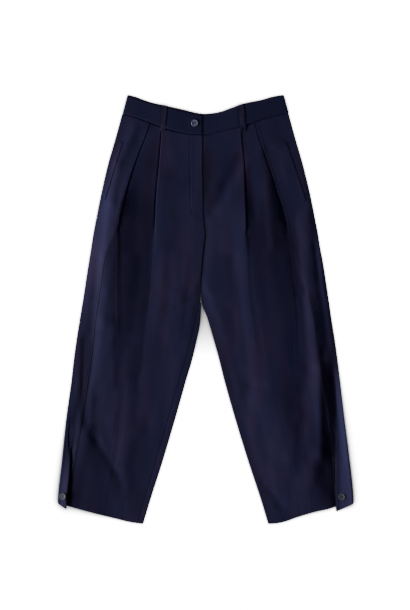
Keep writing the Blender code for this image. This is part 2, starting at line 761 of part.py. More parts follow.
def button(name, spec, height, finish, collection, cutters):
    """A turned button with a raised rim and bored holes, its underside at a given height."""
    piece = turned_button(name, finish, collection)
    place = Matrix.Translation(Vector((spec.x, TOP_EDGE - spec.down, height)) * MM)
    piece.matrix_world = place @ Matrix.Rotation(radians(spec.tilt), 4, "Y")
    for i in range(BUTTON_HOLES):
        angle = 2 * pi * (i + 0.5) / BUTTON_HOLES
        mesh = bmesh.new()
        bmesh.ops.create_cone(
            mesh, cap_ends=True, segments=HOLE_SIDES, radius1=BUTTON_HOLE * MM, radius2=BUTTON_HOLE * MM,
            depth=HOLE_LENGTH * MM,
        )
        data = bpy.data.meshes.new(f"{name}_hole_{i}")
        mesh.to_mesh(data)
        mesh.free()
        cutter = bpy.data.objects.new(f"{name}_hole_{i}", data)
        cutters.objects.link(cutter)
        cutter.hide_render = True
        cutter.display_type = "WIRE"
        offset = Vector((BUTTON_HOLE_OUT * cos(angle), BUTTON_HOLE_OUT * sin(angle), 0)) * MM
        cutter.matrix_world = piece.matrix_world @ Matrix.Translation(offset)
        hole = piece.modifiers.new(f"Hole {i}", "BOOLEAN")
        hole.object = cutter
        hole.operation = "DIFFERENCE"
    return piece


def main():
    clear_scene()
    garment = collection_named(NAME)
    cutters = collection_named("cutters")
    cloth = material("navy_gabardine", GABARDINE)
    resin = material("button_resin", RESIN)
    legs = {
        "left": Leg("left", LEFT_SECTIONS, LEFT_LIE, LEFT_TUCK, LEFT_TIP, LEFT_HEM),
        "right": Leg("right", RIGHT_SECTIONS, RIGHT_LIE, RIGHT_TUCK, RIGHT_TIP, RIGHT_HEM),
    }
    for side, leg in legs.items():
        panel(f"front_{side}", front_columns, leg, cloth, garment)
        side_panel = panel(f"side_{side}", side_columns, leg, cloth, garment)
        panel(f"back_{side}", back_columns, leg, cloth, garment)
        band = waistband(leg, cloth, garment)
        belt_loop(side, cloth, garment)
        pocket_welt(leg, side_panel, cloth, garment)
        spec = HEM_BUTTONS[side]
        button(f"button_hem_{side}", spec, seat_height(side_panel, spec), resin, garment, cutters)
        if side == "left":
            button("button_waist", WAIST_BUTTON, seat_height(band, WAIST_BUTTON), resin, garment, cutters)


main()
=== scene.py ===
# %% [markdown]
# # Pleated trousers, laid flat
# High-waisted trousers in navy gabardine lie face up on a pale floor. Each leg is three pieces of
# cloth: a front with two deep pleats, a side panel that is tucked and buttoned at the hem, and a back.
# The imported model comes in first. It fixes every place and size, and the pieces made here stand for its
# solids.

# %% Load the frame
from collections import namedtuple
from math import cos, pi, radians, sin

import bpy
import numpy as np
from mathutils import Matrix, Vector
from mathutils.bvhtree import BVHTree


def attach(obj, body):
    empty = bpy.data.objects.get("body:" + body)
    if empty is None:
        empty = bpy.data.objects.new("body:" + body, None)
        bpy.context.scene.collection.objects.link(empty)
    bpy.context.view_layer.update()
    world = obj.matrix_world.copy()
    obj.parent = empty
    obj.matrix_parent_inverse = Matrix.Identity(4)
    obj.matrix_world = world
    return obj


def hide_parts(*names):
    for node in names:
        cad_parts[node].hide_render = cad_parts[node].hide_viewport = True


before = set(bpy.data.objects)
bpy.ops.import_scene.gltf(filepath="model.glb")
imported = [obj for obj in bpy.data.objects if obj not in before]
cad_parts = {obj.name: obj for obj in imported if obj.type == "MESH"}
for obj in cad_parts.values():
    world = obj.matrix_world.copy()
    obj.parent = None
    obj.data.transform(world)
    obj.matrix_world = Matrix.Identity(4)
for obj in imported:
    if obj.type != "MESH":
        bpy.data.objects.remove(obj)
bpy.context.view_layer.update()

MM = 0.001

# %% [markdown]
# A small helper puts new data into the scene as an object. The camera, the lamp and every drawn piece go
# through it.

# %% Helper for objects
def placed(name, data):
    """A new object of the scene."""
    made = bpy.data.objects.new(name, data)
    bpy.context.scene.collection.objects.link(made)
    return made


print("placed() ready")

# %% [markdown]
# ## Camera, floor and light
# The garment was photographed from straight above. A long lens keeps the sides from leaning in. The
# camera is centred on the garment, and its distance sets the share of the picture that the cloth fills.

# %% Camera
LENS = 85
SENSOR = 36
CAMERA_PLACE = (-0.0014, 0.0097, 3.17)
camera_data = bpy.data.cameras.new("camera")
camera_data.lens = LENS
camera_data.sensor_fit = "VERTICAL"
camera_data.sensor_height = SENSOR
camera = placed("camera", camera_data)
camera.location = CAMERA_PLACE
bpy.context.scene.camera = camera
print("camera above the garment at", CAMERA_PLACE)

# %% [markdown]
# Two more helpers serve the materials. One turns a hex colour into the linear values that shaders take.
# The other adds a node to a material, with its settings and links in one call, so that a material reads
# like a recipe.

# %% Helpers for colours and nodes
def linear(hex_colour):
    """An sRGB hex colour as the linear values that shaders take."""
    parts = [int(hex_colour[i:i + 2], 16) / 255 for i in (1, 3, 5)]
    return [part / 12.92 if part <= 0.04045 else ((part + 0.055) / 1.055) ** 2.4 for part in parts] + [1]


def add_node(tree, kind, settings=None, **links):
    """Adds a node. settings are its own values, and links its inputs: a value or another node's output."""
    node = tree.nodes.new(kind)
    for name, value in (settings or {}).items():
        setattr(node, name, value)
    for name, value in links.items():
        at = int(name[1:]) if name[0] == "i" and name[1:].isdigit() else name.replace("_", " ")
        if isinstance(value, bpy.types.NodeSocket):
            tree.links.new(value, node.inputs[at])
        else:
            node.inputs[at].default_value = value
    return node


def new_material(name):
    """An empty material with a Principled shader, and its node tree."""
    made = bpy.data.materials.new(name)
    made.use_nodes = True
    return made, made.node_tree, made.node_tree.nodes["Principled BSDF"]


print("a mid grey in linear values:", [round(part, 3) for part in linear("#808080")])


# %% [markdown]
# The background is a white sheet that glows so that it burns out to pure white, with only a breath of
# painted shadow where the garment crowds it. A lamp under the sheet could do that, but a sheet that
# glows for the camera alone sheds no light on the cloth. Ambient occlusion finds where the garment is
# near, and there the glow is dimmed as painted shadow. Close to the fork of the legs that painted
# shadow gives way to another one, which deepens steadily up to the fork.

# %% Floor
FLOOR_SIZE = 6.0
PAPER_GLOW = 24.0             # enough to burn out to white
SHADE_REACH = 0.07            # how near the cloth has to be to paint shadow on the sheet
SHADE_DEPTH = 9.0             # how strongly nearness darkens the painted shadow
FORK = (-0.004, 0.025, 0.0)   # where the legs part
FORK_OPEN = 0.08              # the distance from there at which the shade has its full depth
FORK_REACH = 0.136            # how far down from there the glow is still dimmed
FORK_FADE = 0.026             # the distance over which it falls to a third
bpy.ops.object.select_all(action="DESELECT")
bpy.ops.mesh.primitive_plane_add(size=FLOOR_SIZE, location=(0, 0, 0))
floor = bpy.context.object
floor.name = "paper_floor"
paper, paper_tree, paper_shader = new_material("glowing_paper_painted_shadow")
paper_shader.inputs["Base Color"].default_value = linear("#F6F6F6")
paper_shader.inputs["Roughness"].default_value = 0.9
floor_place = add_node(paper_tree, "ShaderNodeTexCoord")
from_fork = add_node(
    paper_tree, "ShaderNodeVectorMath", {"operation": "DISTANCE"},
    i0=floor_place.outputs["Object"], i1=FORK,
)
# Painted shadow: the glow is dimmed by ambient occlusion near the cloth, more strongly away from the fork
depth = add_node(
    paper_tree, "ShaderNodeMapRange",
    Value=from_fork.outputs["Value"], From_Max=FORK_OPEN, To_Max=SHADE_DEPTH,
)
crowding = add_node(paper_tree, "ShaderNodeAmbientOcclusion", {"samples": 16}, Distance=SHADE_REACH)
edge_shade = add_node(
    paper_tree, "ShaderNodeMath", {"operation": "POWER"}, i0=crowding.outputs["AO"], i1=depth.outputs[0],
)
# A second painted shadow, deepest at the fork of the legs
steps_below = add_node(
    paper_tree, "ShaderNodeMath", {"operation": "MULTIPLY_ADD"},
    i0=from_fork.outputs["Value"], i1=1 / FORK_FADE, i2=-FORK_REACH / FORK_FADE,
)
fork_painted_shadow = add_node(paper_tree, "ShaderNodeMath", {"operation": "EXPONENT"}, i0=steps_below.outputs[0])
glow = add_node(paper_tree, "ShaderNodeMath", {"operation": "MINIMUM"}, i0=fork_painted_shadow.outputs[0], i1=1.0)
seen = add_node(paper_tree, "ShaderNodeLightPath")
for factor in (edge_shade.outputs[0], seen.outputs["Is Camera Ray"], PAPER_GLOW):
    glow = add_node(paper_tree, "ShaderNodeMath", {"operation": "MULTIPLY"}, i0=glow.outputs[0], i1=factor)
paper_tree.links.new(glow.outputs[0], paper_shader.inputs["Emission Strength"])
paper_shader.inputs["Emission Color"].default_value = linear("#FFFFFF")
floor.data.materials.append(paper)
print("floor:", FLOOR_SIZE, "m wide")

# %% [markdown]
# A low soft lamp at the viewer's left models the folds: faces turned to the left are light, and those
# turned to the right are dark. Its light comes in at about 12 degrees, so a fold's shadow is between
# four and five times as long as the fold is high. The room adds only a little light, just enough to
# keep the shadows navy.

# %% Lamp and room light
LAMP_PLACE = (-9.6, -1.55, 2.14)
LAMP_WIDTH = 6.2
LAMP_HEIGHT = 2.1
LAMP_POWER = 2000
WORLD_STRENGTH = 0.05
lamp_data = bpy.data.lights.new("key_left", "AREA")
lamp_data.shape = "RECTANGLE"
lamp_data.size = LAMP_WIDTH
lamp_data.size_y = LAMP_HEIGHT
lamp_data.energy = LAMP_POWER
lamp = placed("key_left", lamp_data)
lamp.location = LAMP_PLACE
lamp.rotation_euler = Vector(LAMP_PLACE).to_track_quat("Z", "Y").to_euler()
world = bpy.data.worlds.new("studio")
bpy.context.scene.world = world
world.use_nodes = True
world.node_tree.nodes["Background"].inputs["Color"].default_value = linear("#F4E2FF")
world.node_tree.nodes["Background"].inputs["Strength"].default_value = WORLD_STRENGTH
print("lamp at", LAMP_PLACE, "of", LAMP_POWER, "W")

# %% [markdown]
# ## Materials
# The cloth is a wool and viscose gabardine: a firm, smooth twill, woven from yarn-dyed navy thread. It
# is matt, with a faint sheen where it turns from the eye, and its steep diagonal ribs run over the
# whole cloth. The ribs are laid on the piece's UV map, which runs along the cloth in metres, so they
# follow each fold.

# %% Gabardine
TWILL_RIB_MM = 0.69115  # a real rib is 0.5 mm: drawn 1.4 times as wide, so that it shows
TWILL_ANGLE = 63        # gabardine's ribs climb at about 63 degrees
WAVE_UNIT = 2 * pi / 20  # the scale at which a band texture repeats once a unit
RIB_SHADE = 0.22        # how much the ribs darken the dye
RIB_DEPTH_MM = 0.12
SLUB_MM = 1.6           # the size of the uneven places in the yarn
SLUB_SHARE = 0.5        # their height beside a rib's
SHADE_PATCH_MM = 40     # uneven dye and pressing, seen as long soft streaks
SHADE_STRETCH = 0.2     # how much slower the streaks change down the leg than across it
PAINTED_SHADE_DARK = 0.85     # how far full painted shade mixes the dye towards the shade colour
# the near-black colour that painted shade mixes in
PAINTED_SHADE_COLOUR = "#04040C"


def gabardine(name, deep, mid, light):
    """Navy twill: a dry ribbed face, with long soft streaks of shade that keep it from looking flat, and
    painted shade where its points ask for it.
    """
    made, tree, shader = new_material(name)
    place = add_node(tree, "ShaderNodeUVMap", {"uv_map": "cloth"})
    ribs_at = add_node(
        tree, "ShaderNodeMapping", Vector=place.outputs[0],
        Rotation=(0, 0, radians(TWILL_ANGLE)), Scale=[1 / (TWILL_RIB_MM * MM)] * 3,
    )
    ribs = add_node(
        tree, "ShaderNodeTexWave", {"wave_type": "BANDS", "bands_direction": "X"},
        Vector=ribs_at.outputs[0], Scale=WAVE_UNIT, Distortion=0.6, Detail=1.0,
    )
    yarn = add_node(
        tree, "ShaderNodeTexNoise",
        Vector=place.outputs[0], Scale=1 / (SLUB_MM * MM), Detail=3.0, Roughness=0.6,
    )
    body_place = add_node(tree, "ShaderNodeTexCoord")
    streak_at = add_node(
        tree, "ShaderNodeMapping", Vector=body_place.outputs["Object"],
        Scale=(1 / (SHADE_PATCH_MM * MM), SHADE_STRETCH / (SHADE_PATCH_MM * MM), 1),
    )
    streak = add_node(
        tree, "ShaderNodeTexNoise", Vector=streak_at.outputs[0], Scale=1.0, Detail=2.0, Roughness=0.45,
    )
    blend = add_node(tree, "ShaderNodeValToRGB", Fac=streak.outputs["Fac"])
    ramp = blend.color_ramp
    ramp.elements[0].position, ramp.elements[0].color = 0.3, linear(deep)
    ramp.elements[1].position, ramp.elements[1].color = 0.7, linear(light)
    ramp.elements.new(0.5).color = linear(mid)
    ribbed = add_node(
        tree, "ShaderNodeMix", {"data_type": "RGBA", "blend_type": "MULTIPLY"},
        i0=RIB_SHADE, i6=blend.outputs["Color"], i7=ribs.outputs["Color"],
    )
    # Painted shade: a point attribute mixes the dye towards near black at seams, fold edges, stitch lines
    # and edges.
    pressed = add_node(tree, "ShaderNodeAttribute", {"attribute_name": "pressed"})
    painted_shade_share = add_node(
        tree, "ShaderNodeMath", {"operation": "MULTIPLY"}, i0=pressed.outputs["Fac"], i1=PAINTED_SHADE_DARK,
    )
    with_painted_shade = add_node(
        tree, "ShaderNodeMix", {"data_type": "RGBA", "blend_type": "MIX"},
        i0=painted_shade_share.outputs[0], i6=ribbed.outputs[2], i7=linear(PAINTED_SHADE_COLOUR),
    )
    height = add_node(
        tree, "ShaderNodeMath", {"operation": "MULTIPLY_ADD"}, i0=yarn.outputs["Fac"], i1=SLUB_SHARE,
        i2=ribs.outputs["Fac"],
    )
    bump = add_node(
        tree, "ShaderNodeBump", Height=height.outputs[0], Strength=0.35, Distance=RIB_DEPTH_MM * MM,
    )
    rough = add_node(tree, "ShaderNodeMapRange", Value=yarn.outputs["Fac"], To_Min=0.72, To_Max=0.9)
    tree.links.new(with_painted_shade.outputs[2], shader.inputs["Base Color"])
    tree.links.new(rough.outputs[0], shader.inputs["Roughness"])
    tree.links.new(bump.outputs[0], shader.inputs["Normal"])
    shader.inputs["Specular IOR Level"].default_value = 0.3
    shader.inputs["Sheen Weight"].default_value = 0.12
    shader.inputs["Sheen Roughness"].default_value = 0.45
    shader.inputs["Sheen Tint"].default_value = linear("#8C90C8")
    return made


cloth_finish = gabardine("navy_gabardine", "#1F1E4B", "#28214C", "#32234C")
# A darker copy of the same cloth for the waistband: its darker tone is painted shade
band_finish = gabardine("navy_gabardine_painted_shade", "#131644", "#1B1945", "#231B44")
print("made", cloth_finish.name, "and", band_finish.name)

# %% [markdown]
# Sewing thread is spun polyester, dyed to match, with a soft gloss along each strand. The seams'
# thread is drawn near black, as painted shade of the grooves that it lies in. The buttons are cast
# polyester resin in slate grey, with a cloudy figure: polished to satin at the waist, and left matt at
# the hems, where a darker copy of the resin paints shade.

# %% Thread and button resin
STRAND_MM = 0.4        # how often a strand of thread turns
CLOUD_MM = 5           # the size of the resin's clouds
MATT_ROUGHNESS = 0.62
POLISH_GAIN = 0.3      # what polish takes from the roughness and gives to the coat


def spun_thread(name, colour):
    """Spun polyester thread: a soft gloss along each twisted strand."""
    made, tree, shader = new_material(name)
    place = add_node(tree, "ShaderNodeTexCoord")
    strand = add_node(
        tree, "ShaderNodeTexNoise", Vector=place.outputs["Object"], Scale=1 / (STRAND_MM * MM), Detail=2.0,
    )
    shade = add_node(
        tree, "ShaderNodeMapRange", Value=strand.outputs["Fac"], To_Min=0.75, To_Max=1.2,
    )
    tint = add_node(
        tree, "ShaderNodeMix", {"data_type": "RGBA", "blend_type": "MULTIPLY"},
        i0=1.0, i6=linear(colour), i7=shade.outputs[0],
    )
    tree.links.new(tint.outputs[2], shader.inputs["Base Color"])
    shader.inputs["Roughness"].default_value = 0.5
    shader.inputs["Sheen Weight"].default_value = 0.2
    return made


def cast_resin(name, dark, light, polish=1.0):
    """Cast resin: cloudy swirls that run through the blank, under a satin polish or, without it, matt."""
    made, tree, shader = new_material(name)
    place = add_node(tree, "ShaderNodeTexCoord")
    cloud = add_node(
        tree, "ShaderNodeTexNoise", Vector=place.outputs["Object"], Scale=1 / (CLOUD_MM * MM), Detail=4.0,
        Distortion=1.2,
    )
    swirl = add_node(tree, "ShaderNodeValToRGB", Fac=cloud.outputs["Fac"])
    swirl.color_ramp.elements[0].position, swirl.color_ramp.elements[0].color = 0.35, linear(dark)
    swirl.color_ramp.elements[1].position, swirl.color_ramp.elements[1].color = 0.68, linear(light)
    tree.links.new(swirl.outputs["Color"], shader.inputs["Base Color"])
    shader.inputs["Roughness"].default_value = MATT_ROUGHNESS - POLISH_GAIN * polish
    shader.inputs["Coat Weight"].default_value = POLISH_GAIN * polish
    shader.inputs["Coat Roughness"].default_value = 0.15
    return made


# Near black, darker than the cloth: painted shade of the stitch grooves
thread_finish = spun_thread("navy_polyester_thread", "#0A0B1A")
button_thread_finish = spun_thread("button_thread", "#14152A")
resin_finish = cast_resin("slate_button_resin", "#5A5C74", "#8C8EAA")
# The hem buttons' resin: matt, and darker as painted shade
matt_shaded_resin_finish = cast_resin("slate_button_resin_matt_painted_shade", "#25262F", "#3E404E", 0.0)
print("made", thread_finish.name, "and", resin_finish.name)

# %% [markdown]
# ## The cut
# Every table is in millimetres. x runs to the viewer's right, and "down" is measured from the top of
# the waistband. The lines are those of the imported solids, and a smooth curve goes through each column
# of a table.

# %% Levels, lengths and the curves across the garment
CLOTH = 1.2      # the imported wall
SHELL = 0.28     # the wall drawn here: fine cloth, so that pressed folds lie close
SEAM_GAP = 0.3
WAIST_DITCH = 0.85   # how far below the waist seam the panels start
PITCH = 1.55     # from the middle of the back's cloth to the middle of the front's
BACK_Z = CLOTH / 2
FRONT_Z = BACK_Z + PITCH
TOP_EDGE = 471.8
CROTCH = 447
FLY_END = 273

WAIST_SEAM = (
    # x, down
    (-185, 41), (-160, 47), (-136, 55.5), (-107, 66.5), (-87, 74), (-59, 81.5), (-21, 87),
    (3, 87), (29, 82), (73, 71.5), (92, 65.5), (120, 57), (135, 51.5), (161, 44), (185, 40),
)
BAND_TOP = (
    # x, down
    (-172, 0), (-153, 5), (-136, 11.5), (-116, 18), (-96, 22.5), (-72, 28), (-45, 34), (-23, 39.5),
    (-4, 42), (16, 40.5), (36, 36.5), (54, 30), (73, 23), (92, 17.5), (122, 11.5), (148, 4), (172, 0),
)
LEFT_HEM = ((-326, 897), (-308, 902), (-263, 915), (-197, 932), (-163, 940), (-138, 943.5))
RIGHT_HEM = (
    (138, 943.5), (154, 942.5), (170, 939.5), (203, 928), (240, 917), (271, 910), (291, 903.5), (326, 893),
)


def ease(value):
    """0 below 0, 1 above 1, and a smooth step between."""
    value = np.clip(value, 0.0, 1.0)
    return value * value * (3 - 2 * value)


def bell(distance, width):
    """1 on a line and softly less beside it: about a third at the width."""
    return np.exp(-((distance / width) ** 2))


def curve_through(points):
    """A smooth curve through (place, value) points that never overshoots them. It reads arrays too."""
    places, values = (np.array(column, float) for column in zip(*points))
    steps = np.diff(values) / np.diff(places)
    slopes = np.zeros(len(values))
    for i in range(1, len(values) - 1):
        if steps[i - 1] * steps[i] > 0:
            slopes[i] = 2 * steps[i - 1] * steps[i] / (steps[i - 1] + steps[i])
    slopes[0], slopes[-1] = steps[0], steps[-1]

    def value_at(place):
        place = np.clip(place, places[0], places[-1])
        i = np.clip(np.searchsorted(places, place) - 1, 0, len(places) - 2)
        width = places[i + 1] - places[i]
        u = (place - places[i]) / width
        start = (1 + 2 * u) * (1 - u) ** 2 * values[i] + u * (1 - u) ** 2 * width * slopes[i]
        end = u * u * (3 - 2 * u) * values[i + 1] + u * u * (u - 1) * width * slopes[i + 1]
        return start + end

    return value_at


def columns(table):
    """A smooth curve for each named column of a table, read by its first column."""
    names = table[0]._fields[1:]
    return {name: curve_through([(row[0], getattr(row, name)) for row in table]) for name in names}


waist_seam = curve_through(WAIST_SEAM)
band_top = curve_through(BAND_TOP)
print("waist seam at the centre:", round(float(waist_seam(0)), 1), "mm down")

# %% [markdown]
# Each leg is described by where its lines lie at each height: the outer edge, the seam between side and
# front, the edges of the two pleats, the inseam and the inner edge.

# %% Sections of the two legs
Section = namedtuple("Section", "down outer seam side_pleat centre_pleat inseam inner")
LEFT_SECTIONS = [Section(*row) for row in (
    # down, outer, seam, side_pleat, centre_pleat, inseam, inner
    (40, -183, -120, -115, -95, -8, -8), (88, -196, -137, -132, -97, -7, -7),
    (154, -215, -162, -157, -102, -7, -7), (220, -230, -182, -177, -108, -6, -6),
    (280, -242, -195, -190, -111, -4, -4), (306, -247, -200, -192, -112, -1, -1),
    (332, -251, -211, -193, -115, -4, -4), (363, -256, -221, -193, -118, -7, -7),
    (407, -263, -228, -194, -121, -10, -10), (447, -269, -234, -194, -124, -11, -10),
    (495, -277, -241, -193, -130, -22, -12), (539, -284, -246, -192, -136, -32, -20),
    (583, -290, -250, -194, -140, -44, -30), (627, -295, -257, -198, -145, -58, -43),
    (715, -307, -271, -212, -160, -83, -68), (803, -316, -286, -230, -178, -109, -94),
    (891, -325, -299, -246, -196, -135, -122), (944, -326, -300, -252, -202, -150, -138),
)]
RIGHT_SECTIONS = [Section(*row) for row in (
    # down, outer, seam, side_pleat, centre_pleat, inseam, inner
    (40, 182, 109, 104, 77, -8, -8), (88, 195, 122, 117, 79, -7, -7),
    (154, 214, 145, 140, 85, -7, -7), (220, 230, 166, 161, 87, -6, -6),
    (280, 242, 184, 179, 89, -4, -4), (306, 247, 187, 181, 89, -1, -1),
    (332, 251, 194, 183, 90, -4, -4), (363, 257, 207, 187, 91, -7, -7),
    (407, 264, 219, 193, 93, -10, -10), (447, 270, 227, 198, 96, -10, -10),
    (495, 277, 237, 203, 103, 5, 5), (539, 284, 242, 204, 109, 18, 18),
    (583, 290, 247, 205, 116, 30, 30), (627, 295, 253, 207, 125, 41, 41),
    (715, 305, 268, 218, 149, 66, 66), (803, 316, 278, 230, 168, 93, 93),
    (891, 325, 284, 240, 184, 122, 122), (944, 326, 287, 244, 192, 138, 138),
)]
print(len(LEFT_SECTIONS), "and", len(RIGHT_SECTIONS), "rows of sections")

# %% [markdown]
# The pleats are deep at the waist and open into the leg. Their table says how far an edge laps over the
# cloth below it and how high it stands. Where the overlap has fallen below zero the pleat is a soft
# ramp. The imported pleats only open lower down, at about 530 mm, so that their thick walls don't cross.
# Thin cloth opens at 320 mm, as the real one does. The iron has pressed each pleat flatter still, to a
# height of its own.

# %% Pleats
Pleat = namedtuple("Pleat", "down centre_overlap centre_rise side_overlap side_rise")
PLEATS = [
    Pleat(40, 24, 0.6, 22, 0.6),
    Pleat(120, 23, 0.6, 20, 0.7),
    Pleat(215, 20, 1.1, 16, 1.1),
    Pleat(280, 9, 1.1, 6, 1.0),
    Pleat(325, -2, 0.8, -3, 0.8),
    Pleat(480, -7, 0.6, -7, 0.5),
    Pleat(620, -12, 0.5, -10, 0.4),
    Pleat(700, -15, 0.2, -13, 0.2),
    Pleat(780, -15, 0.0, -13, 0.0),
    Pleat(944, -15, 0.0, -13, 0.0),
]
PRESSED = {
    # how far the centre pleat and the side pleat may stand up
    "left": (0.6, 1.1),
    "right": (1.1, 0.6),
}
pleats = columns(PLEATS)
print(len(PLEATS), "pleat rows")

# %% [markdown]
# At the hem the outer strip of each leg is folded forward and buttoned down. The tuck's table gives the
# strip's width, how far it laps and how high its fold stands. Its end hangs below the hem in a point,
# and the strip swells between its fold and the outer edge.

# %% Hem tucks
Tuck = namedtuple("Tuck", "down width overlap rise")
LEFT_TUCK = [
    Tuck(40, 15, -1, 0.0), Tuck(640, 15, -1, 0.0), Tuck(740, 17, -3, 1.6), Tuck(800, 19, 5, 4.0),
    Tuck(847, 21, 6, 5.4), Tuck(891, 20, 6, 6.4), Tuck(944, 17, 5, 6.4),
]
RIGHT_TUCK = [
    Tuck(40, 15, -1, 0.0), Tuck(520, 16, -1, 0.0), Tuck(640, 20, -5, 1.8), Tuck(740, 23, 2, 3.4),
    Tuck(803, 30, 9, 4.0), Tuck(870, 37, 11, 4.4), Tuck(905, 37.5, 11, 4.4), Tuck(944, 32, 9, 4.4),
]
# Tip: how far the strip's corners hang, the share of its fold's height that the iron leaves, how far it
# swells, and how early in its width
Tip = namedtuple("Tip", "inner_drop outer_drop pressed swell early")
LEFT_TIP = Tip(8.5, 0, 0.65, 3.3, 0.2)
RIGHT_TIP = Tip(12, 5, 0.25, 7.0, -1.2)
TIP_LENGTH = 70   # how far above the hem the strip starts to hang
print(len(LEFT_TUCK) + len(RIGHT_TUCK), "tuck rows")

# %% [markdown]
# The creases are placed one by one. Each is a straight soft ridge, or a hollow where its height is
# negative, and they are uneven in length, depth and spacing, as cloth falls. The first table has the
# main folds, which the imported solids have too. The second has the finer ones that only this cloth has.

# %% Folds
Fold = namedtuple("Fold", "x down end_x end_down height half_width")
FOLDS = [Fold(*row) for row in (
    # x, down, end_x, end_down, height, half_width
    (-155, 73, -193, 154, 0.6, 9), (-192, 150, -206, 240, 1.0, 9), (-204, 240, -222, 500, 2.3, 18),
    (-222, 500, -230, 640, 1.8, 16), (-262, 540, -264, 720, -2.6, 12), (-202, 500, -204, 640, 0.8, 9),
    (-243, 650, -238, 760, -0.7, 10), (-147, 190, -158, 340, -0.4, 14), (-64, 170, -66, 330, -0.6, 14),
    (-40, 440, -52, 560, -0.7, 14), (-142, 620, -150, 700, -0.7, 14), (-232, 693, -188, 860, -0.5, 12),
    (-150, 760, -164, 826, -0.6, 12), (78, 140, 18, 256, -1.4, 14), (82, 120, 107, 560, 0.4, 16),
    (112, 150, 128, 330, 0.4, 18), (140, 130, 181, 264, -2.7, 14), (181, 264, 214, 429, -1.6, 14),
    (214, 429, 228, 600, -1.3, 14), (60, 480, 92, 680, -0.9, 16), (254, 600, 254, 790, 2.3, 13),
    (195, 850, 226, 800, -0.6, 14), (146, 875, 164, 902, -1.1, 10), (206, 730, 204, 810, -1.0, 12),
    (252, 800, 238, 880, -0.5, 14),
)]
print(len(FOLDS), "main folds")

# %% Finer creases
CREASES = [Fold(*row) for row in (
    # x, down, end_x, end_down, height, half_width
    (226, 180, 250, 310, 0.8, 16), (246, 300, 258, 430, 0.9, 14), (285, 620, 289, 800, -1.7, 15),
    (289, 800, 292, 930, -2.2, 10), (219, 270, 230, 400, 1.0, 14), (258, 560, 262, 740, -0.9, 8),
    (240, 300, 252, 440, -0.8, 8), (244, 330, 268, 560, -0.8, 9), (-107, 360, -129, 640, -0.8, 15),
    (-194, 280, -233, 440, -1.3, 15), (-195, 540, -244, 720, -1.1, 15), (-237, 360, -261, 640, -0.8, 9),
    (-194, 360, -234, 640, -0.8, 15), (-84, 560, -159, 860, -0.8, 15), (-143, 100, -177, 200, -1.1, 15),
    (-71, 280, -60, 440, 0.7, 15), (-241, 800, -259, 910, 0.9, 15), (-61, 560, -141, 860, -0.7, 15),
    (-91, 540, -150, 720, -0.8, 15), (-126, 460, -140, 640, -0.6, 15), (-180, 640, -196, 800, -0.5, 9),
    (64, 360, 101, 640, -2.0, 15), (171, 200, 207, 330, -1.1, 15), (86, 360, 123, 640, -1.2, 15),
    (205, 360, 227, 640, -1.0, 15), (133, 200, 148, 330, 1.0, 15), (212, 640, 225, 800, -0.9, 15),
    (101, 640, 142, 800, -1.4, 15), (160, 540, 178, 720, 0.5, 15), (60, 560, 141, 860, -0.6, 15),
    (123, 640, 162, 800, -0.9, 15), (-96, 180, -100, 400, 0.6, 14), (252, 790, 238, 846, 0.7, 13),
    (-250, 745, -193, 836, -0.8, 8), (-181, 838, -186, 880, -0.4, 9), (205, 700, 200, 790, 0.4, 12),
    (-66, 130, -58, 300, 0.35, 14), (46, 180, 40, 330, 0.4, 16), (120, 150, 136, 330, -0.4, 10),
    (-30, 452, -66, 470, -0.5, 6), (6, 446, 44, 466, -0.2, 6), (-100, 600, -112, 760, 0.5, 14),
    (96, 600, 112, 740, 0.4, 13), (-172, 540, -223, 720, -0.7, 15), (-265, 540, -273, 720, 0.9, 15),
    (-209, 200, -228, 420, 0.6, 9), (-206, 460, -217, 640, 0.5, 9), (-42, 360, -57, 540, 0.4, 9),
    (-140, 360, -161, 540, -0.6, 15), (-67, 200, -95, 420, 0.5, 15), (-81, 460, -131, 640, -0.7, 15),
    (-256, 640, -264, 800, 0.8, 15), (-242, 540, -286, 720, -0.7, 9), (-68, 540, -129, 720, -0.5, 15),
    (-26, 100, -28, 200, -0.7, 15), (166, 130, 207, 260, -0.9, 15), (42, 360, 62, 640, -0.5, 15),
    (227, 360, 253, 540, -0.9, 15), (105, 130, 104, 260, -0.8, 15), (22, 200, 6, 420, 0.6, 15),
    (162, 800, 176, 910, -0.6, 15), (140, 360, 196, 640, 0.4, 15), (221, 560, 284, 860, 0.3, 9),
    (240, 800, 245, 910, -0.5, 15), (53, 360, 67, 540, -0.3, 9), (158, 130, 181, 260, -0.6, 9),
    (195, 360, 237, 540, -0.5, 15),
)]
print(len(CREASES), "finer creases")

# %% [markdown]
# Under its folds the cloth also lies unevenly, as both layers and the leg's own fullness hold it up.
# These broad heights are given on four of the leg's lines, and run straight between them. They come
# from the light: the lamp is low, so a slope of one in ten makes the cloth nearly half as bright again.

